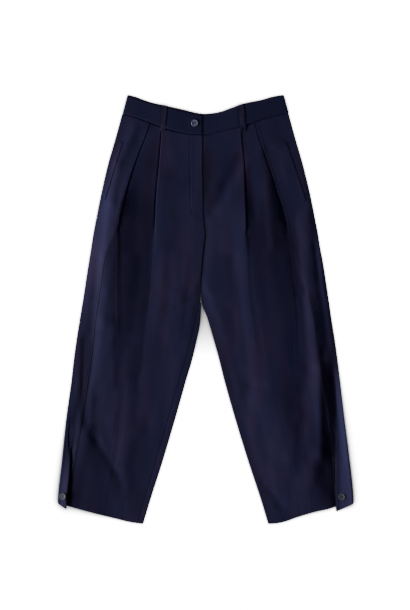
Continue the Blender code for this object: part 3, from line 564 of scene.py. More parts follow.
# %% How high the cloth lies
Lie = namedtuple("Lie", "down seam side_pleat centre_pleat inner")
LEFT_LIE = [Lie(*row) for row in (
    # down, seam, side_pleat, centre_pleat, inner
    (40, 0.2, 0.2, 0.2, 0.1), (85, 1.2, 1.2, 0.3, 0.7), (130, 3.0, 3.0, 0.2, 1.2),
    (190, 6.9, 6.9, 2.5, 1.6), (264, 9.5, 9.5, 1.2, 2.0), (340, 9.4, 9.7, 1.7, 2.4),
    (429, 6.0, 7.1, 0.3, 2.0), (517, 1.1, 3.9, 0.1, 2.1), (605, 0.2, 2.6, 0.2, 0.9),
    (693, 0.3, 0.2, 0.3, 0.1), (781, 3.9, 1.6, 2.5, 0.1), (860, 7.5, 4.1, 2.6, 0.2),
    (944, 6.0, 3.4, 0.3, 0.3),
)]
RIGHT_LIE = [Lie(*row) for row in (
    # down, seam, side_pleat, centre_pleat, inner
    (40, 0.2, 0.2, 0.2, 0.1), (85, 0.9, 0.9, 1.1, 0.7), (130, 1.0, 1.0, 0.3, 1.2),
    (190, 1.4, 1.4, 1.2, 1.6), (264, 1.3, 1.3, 6.9, 2.0), (340, 1.4, 1.5, 8.3, 2.4),
    (429, 3.3, 1.1, 6.4, 2.0), (517, 5.3, 1.7, 4.6, 0.2), (605, 4.3, 2.3, 4.7, 0.2),
    (693, 3.9, 4.1, 6.4, 0.1), (781, 0.7, 6.4, 5.9, 0.2), (860, 0.2, 5.5, 3.1, 0.2),
    (944, 3.9, 0.3, 0.3, 0.3),
)]
ACROSS = ("inner", "centre_pleat", "side_pleat", "seam", "outer")
INNER_FADE = 30      # how far in from the inner edge the cloth comes down to the flat
SUNK = 1.0           # how far a hollow may sink below the flat front
SUNK_SOFTNESS = 0.4
EDGE_CALM = 14       # how far in from an edge the folds have their full height
SOFT_FROM = 500      # below this height the broad heights turn softly at the lines
SOFT_OVER = 150
LINE_STEPS = 14      # enough for a line's place on a row to settle


def distance_to(fold, x, down):
    """How far points lie from a fold's line."""
    run_x, run_down = fold.end_x - fold.x, fold.end_down - fold.down
    share = ((x - fold.x) * run_x + (down - fold.down) * run_down) / (run_x ** 2 + run_down ** 2)
    share = np.clip(share, 0, 1)
    return np.hypot(x - fold.x - share * run_x, down - fold.down - share * run_down)


check = distance_to(FOLDS[2], -210, 300)
print("a point beside the long left fold lies", round(float(check), 1), "mm from its line")

# %% [markdown]
# ## Stitch lines
# A row of lockstitch pulls the cloth down into a narrow groove. The grooves are shaped into the cloth,
# and the stitches are laid in them later. The fly is held by a line shaped like a J, which runs down
# beside the opening and turns in to it at the foot.

# %% The fly's stitch line
FLY_STITCH = [
    # x, down
    (-35.5, 88), (-35.0, 130), (-34.3, 180), (-33.8, 232), (-33.2, 246), (-31.2, 255), (-27.2, 263),
    (-21.0, 268.5), (-13.5, 271.5), (-5.0, 272.5),
]
GROOVE_DEPTH = 0.18
GROOVE_WIDTH = 1.3
PROUD_HEIGHT = 0.3 * GROOVE_DEPTH
PROUD_AT = 3
PROUD_WIDTH = 1.6


def distance_to_line(line, x, down):
    """How far points lie from a line of several straight stretches."""
    stretches = [Fold(*start, *end, 0, 0) for start, end in zip(line, line[1:])]
    return np.min([distance_to(stretch, x, down) for stretch in stretches], axis=0)


def groove(distance):
    """A stitched groove's depth, with the cloth standing a little proud beside it."""
    proud = PROUD_HEIGHT * bell(distance - PROUD_AT, PROUD_WIDTH)
    return proud - GROOVE_DEPTH * bell(distance, GROOVE_WIDTH)


print("fly stitch:", len(FLY_STITCH), "points")

# %% [markdown]
# ## How a leg is drawn
# A leg's cloth is lofted through rows that run across it from the waist seam to the hem. On each row a
# panel is a list of columns, each with its distance outward, its height, how much of the folds' relief
# it takes, and how far it hangs below the row. All rows are worked out at once, as arrays.

# %% The leg
class Leg:
    """One side of the garment: its lines, and the rows that every panel of it is lofted through."""

    def __init__(self, side, sections, lie, tuck, tip, hem):
        self.side = side
        self.outward = -1 if side == "left" else 1
        self.lines = columns(sections)
        self.lie = columns(lie)
        self.tuck = columns(tuck)
        self.tip = tip
        self.hem = curve_through(hem)

    def down(self, row, x):
        """How far down a row crosses x. Rows run from the waist seam to the hem."""
        return (1 - row) * (waist_seam(x) + WAIST_DITCH) + row * self.hem(x)

    def out(self, row, name):
        """The distance outward of one of the leg's lines on each row."""
        line = self.lines[name]
        x = np.full(np.shape(row), float(line(CROTCH)))
        for _ in range(LINE_STEPS):
            x = 0.5 * (x + line(self.down(row, x)))
        return self.outward * x

    def lie_at(self, out, down):
        """The broad height at a distance outward, from the heights at the lines on either side of it."""
        places = [self.outward * self.lines[name](down) for name in ACROSS]
        heights = [self.lie[name](down) if name in self.lie else 0 * down for name in ACROSS]
        softness = ease((down - SOFT_FROM) / SOFT_OVER)
        made = heights[0]
        for near, far, low, high in zip(places, places[1:], heights, heights[1:]):
            share = np.clip((out - near) / (far - near), 0, 1)
            made = made + (share + softness * (ease(share) - share)) * (high - low)
        return made

    def relief(self, x, down):
        """How high the front stands above its flat lie."""
        out = self.outward * x
        to_outer = self.outward * self.lines["outer"](down) - out
        to_inner = out - self.outward * self.lines["inner"](down)
        to_inner = np.maximum(to_inner, 0) + 0.5 * np.maximum(CROTCH - down, 0)
        height = self.lie_at(out, down) * ease(to_inner / INNER_FADE)
        shaped = sum(
            fold.height * bell(distance_to(fold, x, down), fold.half_width) for fold in FOLDS + CREASES
        )
        height = height + shaped * ease(to_outer / EDGE_CALM) * ease(to_inner / EDGE_CALM)
        return 0.5 * (height - SUNK + np.hypot(height + SUNK, SUNK_SOFTNESS))


LEGS = {
    "left": Leg("left", LEFT_SECTIONS, LEFT_LIE, LEFT_TUCK, LEFT_TIP, LEFT_HEM),
    "right": Leg("right", RIGHT_SECTIONS, RIGHT_LIE, RIGHT_TUCK, RIGHT_TIP, RIGHT_HEM),
}
print("hem at 240 mm out:", {side: round(float(leg.hem(leg.outward * 240))) for side, leg in LEGS.items()})

# %% [markdown]
# Two shapes recur. A folded edge turns over itself three times, like a flattened Z, and relaxes into a
# ramp lower down. Behind it, the top layer rests level over what it laps and then sinks to the flat.

# %% Folded edges
RELAX = 32           # how far behind its fold a top layer has sunk to the flat
RAMP = 10
FOLD_BLEND = 6       # the overlap at which a pleat is fully folded
LEAST_TURN = 0.13
DITCH = 0.5          # how far the cloth dips at the foot of a fold
DITCH_FADE = 15
DITCH_STEPS = ((-1.2, 0), (0.3, -1), (1.0, -1), (2.2, 0))


def z_fold(overlap, rise):
    """Seven (offset, height) steps from the top layer over a fold's edge to the bottom layer."""
    turn = np.maximum(rise / 4, LEAST_TURN)
    deep = np.maximum(overlap, FOLD_BLEND)
    folded = [
        (-turn, rise), (0, 0.75 * rise), (-turn, 0.5 * rise), (-deep / 2, 0.5 * rise),
        (turn - deep, 0.5 * rise), (-deep, 0.25 * rise), (turn - deep, 0.0),
    ]
    width = RAMP + 2 * np.maximum(-overlap, 0)
    ramp = [((i / 6 - 0.5) * width, rise * (1 - ease(i / 6))) for i in range(7)]
    closed = ease(overlap / FOLD_BLEND)
    return [
        (closed * folded_out + (1 - closed) * ramp_out, closed * folded_up + (1 - closed) * ramp_up)
        for (folded_out, folded_up), (ramp_out, ramp_up) in zip(folded, ramp)
    ]


def ditch(at, overlap, direction):
    """Four columns that dip at a closed fold's foot. direction is +1 if the bottom layer runs outward."""
    closed = ease(overlap / FOLD_BLEND)
    foot = at + direction * (1 - closed) * (RAMP / 2 + np.maximum(-overlap, 0))
    depth = DITCH * ease(overlap / DITCH_FADE)
    return [(foot + direction * offset, depth * share) for offset, share in DITCH_STEPS]


def resting(distance, overlap, rise):
    """The height of a top layer at a distance behind its fold: level over what it laps, then sinking."""
    closed = ease(overlap / FOLD_BLEND)
    start = closed * (np.maximum(overlap, 0) + 2) + (1 - closed) * (RAMP / 2 + np.maximum(-overlap, 0))
    return rise * (1 - ease((distance - start) / RELAX))


print("a 24 mm pleat's steps:", [(round(float(a), 1), round(float(b), 1)) for a, b in z_fold(24, 3.2)])

# %% [markdown]
# ## The fronts
# A front starts at the fly or the inseam, runs flat to its centre pleat, drops under it, crosses the
# sunken middle, climbs to the side pleat and ends at the side seam. Its edge dips into each seam, as
# pressed cloth does.

# %% Columns of a front
SEAM_DIP = 0.15       # how far an edge dips into its seam
FLY_COLUMNS = (0, 1.2, 2.6, 5, 9, 14, 19, 23, 26, 27.4, 28.4, 29.8, 33, 37)
FRONT_SHARES = (0.2, 0.4, 0.58, 0.74, 0.88)
UNDERLAP = (
    # down, how far the right front runs on under the left one
    (40, 14), (FLY_END, 14), (FLY_END + 30, 4), (CROTCH - 90, 4), (CROTCH - 60, 0), (CROTCH, 0),
)
LAP_PITCH = 0.75      # from the right front to the left one below the fly
FLY_PITCH = 0.8       # how much more it is along the fly
FLY_LIFT = 0.5        # how far both fronts lie up on the fly's hidden layers
FLY_FADE = 60
LAP_FLAT = 18         # how far out from its edge the lap lies level
LAP_SINK = 40         # how far on from there it has sunk
LAP_FALL = 0.45       # how far the right front stands up beside the lap
LAP_FALL_WIDTH = 24
FORK_START = CROTCH - 55   # from here the lap closes up towards the crotch
FORK_RUN = 45
underlap = curve_through(UNDERLAP)


def front_columns(leg, row):
    """The columns of a front panel, from its centre or inner edge out to the side seam."""
    inner = leg.out(row, "inseam")
    inner_down = leg.down(row, leg.outward * inner)
    above_crotch = 1 - ease((inner_down - FORK_START) / FORK_RUN)
    fly_lift = FLY_LIFT * (1 - ease((inner_down - FLY_END + FLY_FADE) / (2 * FLY_FADE)))
    lap_start = inner + SEAM_GAP / 2
    along_fly = 1 - ease((inner_down - FLY_END + FLY_FADE) / FLY_FADE)
    if leg.side == "left":
        lap_level = (LAP_PITCH + FLY_PITCH * along_fly) * above_crotch
        inner = lap_start
    else:
        lap_level = 0 * above_crotch
        inner = lap_start - underlap(inner_down)
    edge = {}
    for name, most in zip(("centre_pleat", "side_pleat"), PRESSED[leg.side]):
        at = leg.out(row, name)
        down = leg.down(row, leg.outward * at)
        key = name.split("_")[0]
        edge[name] = (at, pleats[key + "_overlap"](down), np.minimum(pleats[key + "_rise"](down), most))
    seam = leg.out(row, "seam") - SEAM_GAP / 2
    centre_at, centre_overlap, centre_rise = edge["centre_pleat"]
    side_at, side_overlap, side_rise = edge["side_pleat"]
    centre_fold = z_fold(centre_overlap, centre_rise)
    side_fold = z_fold(side_overlap, side_rise)

    made = []
    last = centre_at + centre_fold[0][0]
    stops = [inner + offset for offset in FLY_COLUMNS]
    stops += [stops[-1] + share * (last - stops[-1]) for share in FRONT_SHARES]
    for step, out in enumerate(stops):
        lapped = lap_level * (1 - ease((out - inner - LAP_FLAT) / LAP_SINK))
        if leg.side == "left":
            lapped = np.maximum(lapped, fly_lift)
        else:
            lapped = fly_lift + LAP_FALL * along_fly * (1 - ease((out - lap_start) / LAP_FALL_WIDTH))
        level = np.maximum(resting(centre_at - out, centre_overlap, centre_rise), lapped)
        if step == 0:
            level = level - SEAM_DIP * ease(level + (inner_down > CROTCH) * 1.0)
        made.append((out, level))
    made += [(centre_at + offset, height) for offset, height in centre_fold]
    made += ditch(centre_at, centre_overlap, 1)
    before_side = list(reversed(ditch(side_at, side_overlap, -1)))
    start, end = made[-1][0], before_side[0][0]
    made += [(start + share * (end - start), 0 * row) for share in (0.2, 0.4, 0.6, 0.8)]
    made += before_side
    made += [(side_at - offset, height) for offset, height in reversed(side_fold)]
    start = made[-1][0]
    for share in (0.33, 0.67, 1):
        out = start + share * (seam - start)
        dip = SEAM_DIP * ease((out - seam + 1.0)) if share == 1 else 0
        made.append((out, resting(out - side_at, side_overlap, side_rise) - dip))
    return [(out, FRONT_Z + level, 1.0, 0.0) for out, level in made]


row_check = front_columns(LEGS["left"], np.array([0.0, 0.5, 1.0]))
print("a front has", len(row_check), "columns")

# %% [markdown]
# ## The side panels
# A side panel hangs from the waist between the front and the back. It wraps the outer edge and lies 30
# mm under the leg. Near the hem its outer strip is folded forward into a tuck, with a pointed end that
# is buttoned down. The seam with the front is pressed to this side and stitched down 4 mm away.

# %% Columns of a side panel
WRAP_UNDER = 30      # how far under the leg the panel reaches
EDGE_STITCH = 4.4    # from the seam to the row of stitches
SEAM_RAISE = 0.08
STITCH_START = 262   # the row of stitches starts here, below the pocket
STITCH_FADE = 40
SEAM_ROOM = 12       # nearer to the tuck than this, the seam's steps close up
LEVEL_FADE = 20      # how far in from the outer edge the side pleat's height ends
EDGE_REACH = 1.3     # how far in from the outer edge the cloth starts to turn under


def side_columns(leg, row):
    """The columns of a side panel, from the front seam over the hem tuck and round the outer edge."""
    seam = leg.out(row, "seam") + SEAM_GAP / 2
    seam_down = leg.down(row, leg.outward * seam)
    side_at = leg.out(row, "side_pleat")
    side_down = leg.down(row, leg.outward * side_at)
    overlap = pleats["side_overlap"](side_down)
    rise = np.minimum(pleats["side_rise"](side_down), PRESSED[leg.side][1])
    outer = leg.out(row, "outer") - SHELL / 2
    outer_down = leg.down(row, leg.outward * outer)
    tuck_at = outer - leg.tuck["width"](outer_down)
    tuck_rise = leg.tip.pressed * leg.tuck["rise"](outer_down)
    tuck_fold = z_fold(leg.tuck["overlap"](outer_down), tuck_rise)
    hem_share = ease((outer_down - (leg.hem(leg.outward * outer) - TIP_LENGTH)) / TIP_LENGTH)
    stitched = ease((seam_down - STITCH_START) / STITCH_FADE)

    def level(out):
        return resting(out - side_at, overlap, rise) * ease((outer - out) / LEVEL_FADE)

    def strip_drop(out):
        share = np.clip((out - tuck_at) / (outer - tuck_at), 0, 1)
        return hem_share * ((1 - share) * leg.tip.inner_drop + share * leg.tip.outer_drop)

    made = []
    end = tuck_at - tuck_fold[-1][0]
    seam_steps = (
        # distance from the seam, height beside the stitch line
        (0, -SEAM_DIP), (1.0, 0.6 * SEAM_RAISE), (2.4, SEAM_RAISE), (3.5, 0.6 * SEAM_RAISE),
        (EDGE_STITCH, -GROOVE_DEPTH), (5.3, 0.1), (6.6, 0.05),
    )
    room = np.minimum(1.0, (end - seam) / SEAM_ROOM)
    for offset, raised in seam_steps:
        out = seam + offset * room
        made.append((out, FRONT_Z + level(out) + stitched * raised, 1.0, 0.0))
    start = seam + seam_steps[-1][0] * room
    for share in (0.18, 0.36, 0.55, 0.76):
        out = start + share * (end - start)
        made.append((out, FRONT_Z + level(out), 1.0, 0.0))
    for step, (offset, height) in enumerate(reversed(tuck_fold)):
        out = tuck_at - offset
        made.append((out, FRONT_Z + level(out) + height, 1.0, strip_drop(out) * ease((step - 2) / 3)))
    start = tuck_at - tuck_fold[0][0]
    strip_end = outer - EDGE_REACH
    swollen = ease(leg.tuck["rise"](outer_down) / 4)
    for share in (0.2, 0.4, 0.6, 0.8, 1):
        out = start + share * (strip_end - start)
        across = (out - tuck_at) / (outer - tuck_at)
        height = tuck_rise + leg.tip.swell * swollen * across * (1 + leg.tip.early * (1 - across))
        made.append((out, FRONT_Z + level(out) + height, 1.0, strip_drop(out)))
    last_out, last_height = made[-1][:2]
    last_x = leg.outward * last_out
    top = last_height + leg.relief(last_x, leg.down(row, last_x))
    radius = (top - BACK_Z) / 2
    reach = np.minimum(radius, EDGE_REACH)
    for angle in (50, 0, -50, -90):
        out = outer - reach + reach * cos(radians(angle))
        z = BACK_Z + radius + radius * sin(radians(angle))
        made.append((out, z, 0.0, strip_drop(out)))
    under_end = outer - WRAP_UNDER + SEAM_GAP / 2
    for share in (0.5, 1):
        out = outer - reach + share * (under_end - outer + reach)
        made.append((out, BACK_Z + 0 * out, 0.0, hem_share * leg.tip.outer_drop * (1 - share)))
    return made


print("a side panel has", len(side_columns(LEGS["left"], np.array([0.0, 1.0]))), "columns")

# %% [markdown]
# ## The backs
# The backs lie flat on the floor under the rest, so they stay plain. On the viewer's left the back
# comes round the inner leg, so its seam with the front shows on top.

# %% Columns of a back
BACK_SHARES = (0, 0.16, 0.34, 0.55, 0.77, 1)


def back_stops(leg, row):
    """The distances outward of a back panel's flat columns, which the waistband's back shares."""
    start = leg.out(row, "outer") - CLOTH / 2 - WRAP_UNDER - SEAM_GAP / 2
    room = np.where(wraps_forward(leg, row), SHELL / 2 + PITCH / 2, SEAM_GAP / 2)
    end = leg.out(row, "inner") + room
    return [start + share * (end - start) for share in BACK_SHARES]


def wraps_forward(leg, row):
    """Whether the back comes round the inner leg, on each row."""
    return (leg.side == "left") & (leg.down(row, leg.outward * leg.out(row, "inner")) > CROTCH + 8)


def back_columns(leg, row):
    """The columns of a back panel: flat to the inner leg, then on the left round it to the inseam."""
    stops = back_stops(leg, row)
    made = [(out, BACK_Z + 0 * out, 0.0, 0.0) for out in stops]
    if leg.side == "right":
        return made
    radius = PITCH / 2
    end = np.where(wraps_forward(leg, row), stops[-1], np.nan)
    for angle in (-45, 0, 45, 90):
        z = BACK_Z + radius + radius * sin(radians(angle))
        made.append((end - radius * cos(radians(angle)), z + 0 * end, 0.0, 0.0))
    inseam = leg.out(row, "inseam") - SEAM_GAP / 2
    for share, dip in ((0.3, 0), (0.7, 0), (1, SEAM_DIP)):
        made.append((end + share * (inseam - end), FRONT_Z - dip + 0 * end, 1.0, 0.0))
    return made


print("a back has", len(back_columns(LEGS["left"], np.array([0.0, 1.0]))), "columns")

# %% [markdown]
# ## From columns to cloth
# Between its columns the cloth follows a smooth curve, so that a fold's edge is round. The curve is a
# Catmull-Rom spline whose knots follow the distance between the columns, which keeps it from looping
# where they stand close together.

# %% Smooth sections
LEAST_GAP = 0.01     # columns nearer than this still count as apart


def smooth(control, counts):
    """A spline through the columns of every row. counts is the number of steps after each column."""
    first, last = 2 * control[:, :1] - control[:, 1:2], 2 * control[:, -1:] - control[:, -2:-1]
    padded = np.concatenate([first, control, last], axis=1)
    gaps = np.linalg.norm(np.diff(padded[..., :2], axis=1), axis=2)
    runs = np.cumsum(np.sqrt(np.maximum(gaps, LEAST_GAP)), axis=1)
    knots = np.concatenate([np.zeros((len(control), 1)), runs], axis=1)
    made = []
    for j, count in enumerate(counts):
        p = [padded[:, j + k] for k in range(4)]
        t = [knots[:, j + k, None] for k in range(4)]
        for step in range(count):
            at = t[1] + (t[2] - t[1]) * step / count
            a = [((t[k + 1] - at) * p[k] + (at - t[k]) * p[k + 1]) / (t[k + 1] - t[k]) for k in range(3)]
            b = [((t[k + 2] - at) * a[k] + (at - t[k]) * a[k + 1]) / (t[k + 2] - t[k]) for k in range(2)]
            made.append(((t[2] - at) * b[0] + (at - t[1]) * b[1]) / (t[2] - t[1]))
    made.append(control[:, -1])
    return np.stack(made, axis=1)


def step_counts(control, spacing, most):
    """How many steps each stretch between two columns takes, from its usual length."""
    lengths = np.nanmedian(np.linalg.norm(np.diff(control[..., :2], axis=1), axis=2), axis=0)
    return [int(np.clip(round(length / spacing), 2, most)) for length in lengths]


print("smooth() ready")

# %% [markdown]
# A grid of points becomes a mesh with a wall. Points that don't exist on a row are left out. The UV map
# runs along the cloth in metres, so the twill has one size on every piece and turns with the cloth over
# a fold.

# %% Cloth meshes
SMOOTH_ANGLE = 65


def apply_all(piece):
    """Applies every modifier of a piece, in order."""
    bpy.ops.object.select_all(action="DESELECT")
    bpy.context.view_layer.objects.active = piece
    piece.select_set(True)
    for modifier in list(piece.modifiers):
        bpy.ops.object.modifier_apply(modifier=modifier.name)


def cloth_piece(name, grid, thickness, finish, pressed):
    """A shell through a grid of points in millimetres. pressed is how much painted shade each of them
    takes.
    """
    rows, across = grid.shape[:2]
    real = ~np.isnan(grid[..., 0])
    index = np.full((rows, across), -1)
    index[real] = np.arange(real.sum())
    runs = np.nan_to_num(np.linalg.norm(np.diff(grid, axis=1), axis=2))
    u = np.concatenate([np.zeros((rows, 1)), np.cumsum(runs, axis=1)], axis=1)
    falls = np.nan_to_num(np.linalg.norm(np.diff(grid, axis=0), axis=2))
    v = np.concatenate([np.zeros((1, across)), np.cumsum(falls, axis=0)], axis=0)
    corners = np.stack([index[:-1, :-1], index[1:, :-1], index[1:, 1:], index[:-1, 1:]], axis=-1)
    corners = corners.reshape(-1, 4)
    corners = corners[(corners >= 0).all(axis=1)]
    data = bpy.data.meshes.new(name)
    data.from_pydata((grid[real] * MM).tolist(), [], corners.tolist())
    layer = data.uv_layers.new(name="cloth")
    flat = np.stack([u[real], v[real]], axis=1) * MM
    layer.data.foreach_set("uv", flat[corners.ravel()].astype(np.float32).ravel())
    # Painted shade, kept as a point attribute that the cloth's material reads
    painted_shade_layer = data.attributes.new("pressed", "FLOAT", "POINT")
    painted_shade_layer.data.foreach_set("value", pressed[real].astype(np.float32))
    data.materials.append(finish)
    piece = placed(name, data)
    wall = piece.modifiers.new("Wall", "SOLIDIFY")
    wall.thickness = thickness * MM
    wall.offset = 0
    apply_all(piece)
    bpy.ops.object.shade_smooth_by_angle(angle=radians(SMOOTH_ANGLE))
    return piece


print("cloth_piece() ready")

# %% [markdown]
# Shade is painted into the cloth where a real fold or seam casts a thin shadow: at the fly's edge and
# its stitching, the side seam and its stitching, and the tuck's fold. How much painted shade the cloth
# takes is kept as one value at each point, from 0 to 1, and the cloth's material darkens with it. The
# right front also takes a soft painted shadow beside the lap.

# %% Where shade is painted on the cloth
# Painted shade at seams, stitch lines, the fly's lap and the tuck's fold; LAP_SHADE paints the soft shadow
# beside the lap
SEAM_MARK = 0.6
STITCH_MARK = 0.8
SEAM_MARK_WIDTH = 0.7
FLY_MARK_WIDTH = 1.1
LAP_MARK = 0.9
LAP_MARK_WIDTH = 1.7
LAP_MARK_MORE = 1.5      # how much wider the lap's mark is below the fly
LAP_MARK_CHANGE = 50     # the height over which it widens, from 30 mm above the fly's end
LAP_MARK_RUN = 30        # how far below the crotch the lap's mark ends
LAP_SHADE = 0.75
LAP_SHADE_WIDTH = 16
LAP_SHADE_START = 100
LAP_SHADE_FADE = 60
TUCK_MARK = {"left": 0.3, "right": 0.95}
TUCK_MARK_AT = 1.2       # how far before the tuck's fold its painted shadow lies
TUCK_MARK_WIDTH = 2.0
TUCK_MARK_RISE = 3       # the painted shadow is whole where the fold is higher than this


def painted_shade_at(leg, kind, x, down):
    """How much painted shade the cloth takes: most at the fly's edge and stitching, the side seam and the
    tuck.
    """
    out = leg.outward * x
    from_seam = out - leg.outward * leg.lines["seam"](down)
    made = SEAM_MARK * bell(from_seam, SEAM_MARK_WIDTH) * ease((down - STITCH_START) / STITCH_FADE)
    if kind == "front":
        from_lap = out - leg.outward * leg.lines["inseam"](down)
        width = LAP_MARK_WIDTH + LAP_MARK_MORE * ease((down - FLY_END + 30) / LAP_MARK_CHANGE)
        above_fork = ease((CROTCH + LAP_MARK_RUN - down) / LAP_MARK_RUN)
        made = np.maximum(made, LAP_MARK * bell(from_lap - leg.outward, width) * above_fork)
        if leg.side == "right":
            below_band = ease((down - LAP_SHADE_START) / LAP_SHADE_FADE)
            above_end = ease((FLY_END - down) / LAP_SHADE_FADE)
            shade = LAP_SHADE * bell(from_lap, LAP_SHADE_WIDTH) * below_band * above_end
            made = np.maximum(made, shade)
    if kind == "front" and leg.side == "left":
        made = np.maximum(made, STITCH_MARK * bell(distance_to_line(FLY_STITCH, x, down), FLY_MARK_WIDTH))
    if kind == "side":
        stitched = STITCH_MARK * bell(from_seam - EDGE_STITCH, SEAM_MARK_WIDTH)
        stitched = stitched * ease((down - STITCH_START) / STITCH_FADE)
        from_tuck = out - leg.outward * leg.lines["outer"](down) + leg.tuck["width"](down)
        tucked = TUCK_MARK[leg.side] * bell(from_tuck + TUCK_MARK_AT, TUCK_MARK_WIDTH)
        tucked = tucked * ease(leg.tuck["rise"](down) / TUCK_MARK_RISE)
        made = np.maximum(np.maximum(made, stitched), tucked)
    return made if kind != "back" else 0 * x


# the value printed is the painted shade at the side seam
check_x = LEGS["left"].lines["seam"](500)
print("pressed at the side seam:", round(float(painted_shade_at(LEGS["left"], "side", check_x, 500)), 2))

# %% [markdown]
# Each leg has a front, a side panel and a back. They are lofted through the same rows, which stand
# closer at the waist seam and at the foot of the fly, where the cloth turns sharply. The fronts and the
# side panels dip towards the waist seam, where they are sewn down.

# %% Cut and lay the six panels
FINE_ROWS = 170
FLY_FOOT_ROWS = 26
FLY_FOOT = (0.172, 0.224)
WAIST_ROWS = (0.0006, 0.0012, 0.002, 0.003, 0.0042)
WAIST_DIP = 0.7
WAIST_DIP_LENGTH = 2.4
fine_rows = np.unique(np.concatenate([
    np.linspace(0, 1, FINE_ROWS), np.linspace(*FLY_FOOT, FLY_FOOT_ROWS), WAIST_ROWS,
]))
PANELS = {
    # kind: columns, spacing and most steps between two columns
    "front": (front_columns, 1.7, 9),
    "side": (side_columns, 1.6, 8),
    "back": (back_columns, 4.0, 16),
}


def panel_grid(leg, kind):
    """The points of a panel, row by row, and how much painted shade it takes at each."""
    columns_of, spacing, most = PANELS[kind]
    rows = fine_rows if kind != "back" else fine_rows[::2]
    made = [
        np.stack([np.broadcast_to(value, rows.shape) for value in column], axis=1)
        for column in columns_of(leg, rows)
    ]
    control = np.stack(made, axis=1).astype(float)
    fine = smooth(control, step_counts(control, spacing, most))
    out, height, share, drop = (fine[..., k] for k in range(4))
    x = leg.outward * out
    down = leg.down(rows[:, None], x)
    z = height + share * leg.relief(x, down)
    if kind != "back":
        z = z - share * WAIST_DIP * (1 - ease((down - waist_seam(x) - WAIST_DITCH) / WAIST_DIP_LENGTH))
    if kind == "front" and leg.side == "left":
        z = z + groove(distance_to_line(FLY_STITCH, x, down))
    return np.stack([x, TOP_EDGE - down - drop, z], axis=2), painted_shade_at(leg, kind, x, down)


panels = {}
for side, leg in LEGS.items():
    for kind in PANELS:
        name = f"{kind}_{side}"
        grid, pressed = panel_grid(leg, kind)
        panels[name] = cloth_piece(f"{name}_cloth", grid, SHELL, cloth_finish, pressed)
        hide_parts(name)
        print(name, len(panels[name].data.polygons), "faces")

# %% [markdown]
# ## The waistband
# The waistband is a straight strip, folded along its top and filled with stiff interlining, so it stays
# smooth. The viewer's left half laps over the right one at the centre, where the button holds it. Its
# edges are rounded by the turned-in cloth.

# %% Sizes of the waistband
BAND = 1.6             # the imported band's wall
BAND_SHELL = 0.8       # the wall drawn here
LAP_CLOSE = 0.1        # the gap between the two halves where they lap
BAND_SIDE_Z = 3.2      # the height of its middle surface at the side
BAND_FRONT_Z = 4.3     # the same on the front
BAND_LAP_Z = 3.9       # the same where the left half laps over the right one
BAND_RISE_WIDTH = 110  # the distance in which it rises from the side to the front
BAND_LAP_FADE = 90     # the distance in which the right half comes down to the lap
BAND_LAP_START = -68   # the left half comes down to the lap from here
BAND_LAP_RUN = 30
BAND_LEAN = 11         # how much narrower the band is at the top
CENTRE = -8
BAND_UNDERLAP = 22     # how far the right half runs on under the left one
BAND_COLUMNS = 64
TURN_COLUMNS = 9
BACK_COLUMNS = 25
BAND_END = {"left": -172, "right": 172}
BACK_BAND_DROP = 1.0   # how much lower its top edge lies at the back
BAND_SHARES = (0, 0.015, 0.04, 0.09, 0.18, 0.32, 0.5, 0.68, 0.82, 0.9, 0.94, 0.965, 0.985, 1)
TOP_ROLL = 1.3         # how far the top edge rolls down
TOP_ROLL_WIDTH = 3.0
SEAM_ROLL = 0.6
SEAM_ROLL_WIDTH = 2.0
LAP_ROLL = (0.3, 0.12, 0.03)   # how far the first columns roll down at the lap's end
BAND_SHORT = 0.4       # how far the band ends above the waist seam on the front
LOOP_WIDTH = 11.5
LOOP_BOTTOM = 79       # how far down a loop's foot is
LOOPS = {
    # the middle of each belt loop at its top and at its foot
    "left": (-90, -94),
    "right": (78, 83),
}
LOOP_ROOM = 14         # how far around a loop the band's columns stand closer
LOOP_COLUMNS = 50
LOOP_DIP = 0.25        # how far a loop presses the band down beside it
LOOP_DIP_AT = 0.7
LOOP_DIP_WIDTH = 0.9
# how dark the painted shade is along the band's top edge and a loop's edges
EDGE_PAINTED_SHADE = 0.75
EDGE_WIDTH = 3.0


def band_height(side, x):
    """The height of the waistband's middle surface on the front, at x."""
    inset = abs(BAND_END[side]) - np.abs(x)
    height = BAND_SIDE_Z + (BAND_FRONT_Z - BAND_SIDE_Z) * ease(inset / BAND_RISE_WIDTH)
    if side == "left":
        return height + (BAND_LAP_Z - BAND_FRONT_Z) * ease((x - BAND_LAP_START) / BAND_LAP_RUN)
    lap_z = BAND_LAP_Z - BAND_SHELL - LAP_CLOSE
    return height + (lap_z - BAND_FRONT_Z) * ease((CENTRE + BAND_LAP_FADE - x) / BAND_LAP_FADE)


def loop_centre(side, down):
    """Where a belt loop's middle is at a height."""
    top_x, bottom_x = LOOPS[side]
    top = band_top(top_x)
    return top_x + (bottom_x - top_x) * (down - top) / (LOOP_BOTTOM - top)


print("the waistband is", round(float(waist_seam(CENTRE) - band_top(CENTRE)), 1), "mm high at the centre")

# %% [markdown]
# Each half is a grid again: columns along the band, and rows across it from its top to the waist seam. Its
# columns stand closer around a belt loop, which presses it down a little beside both of its edges.

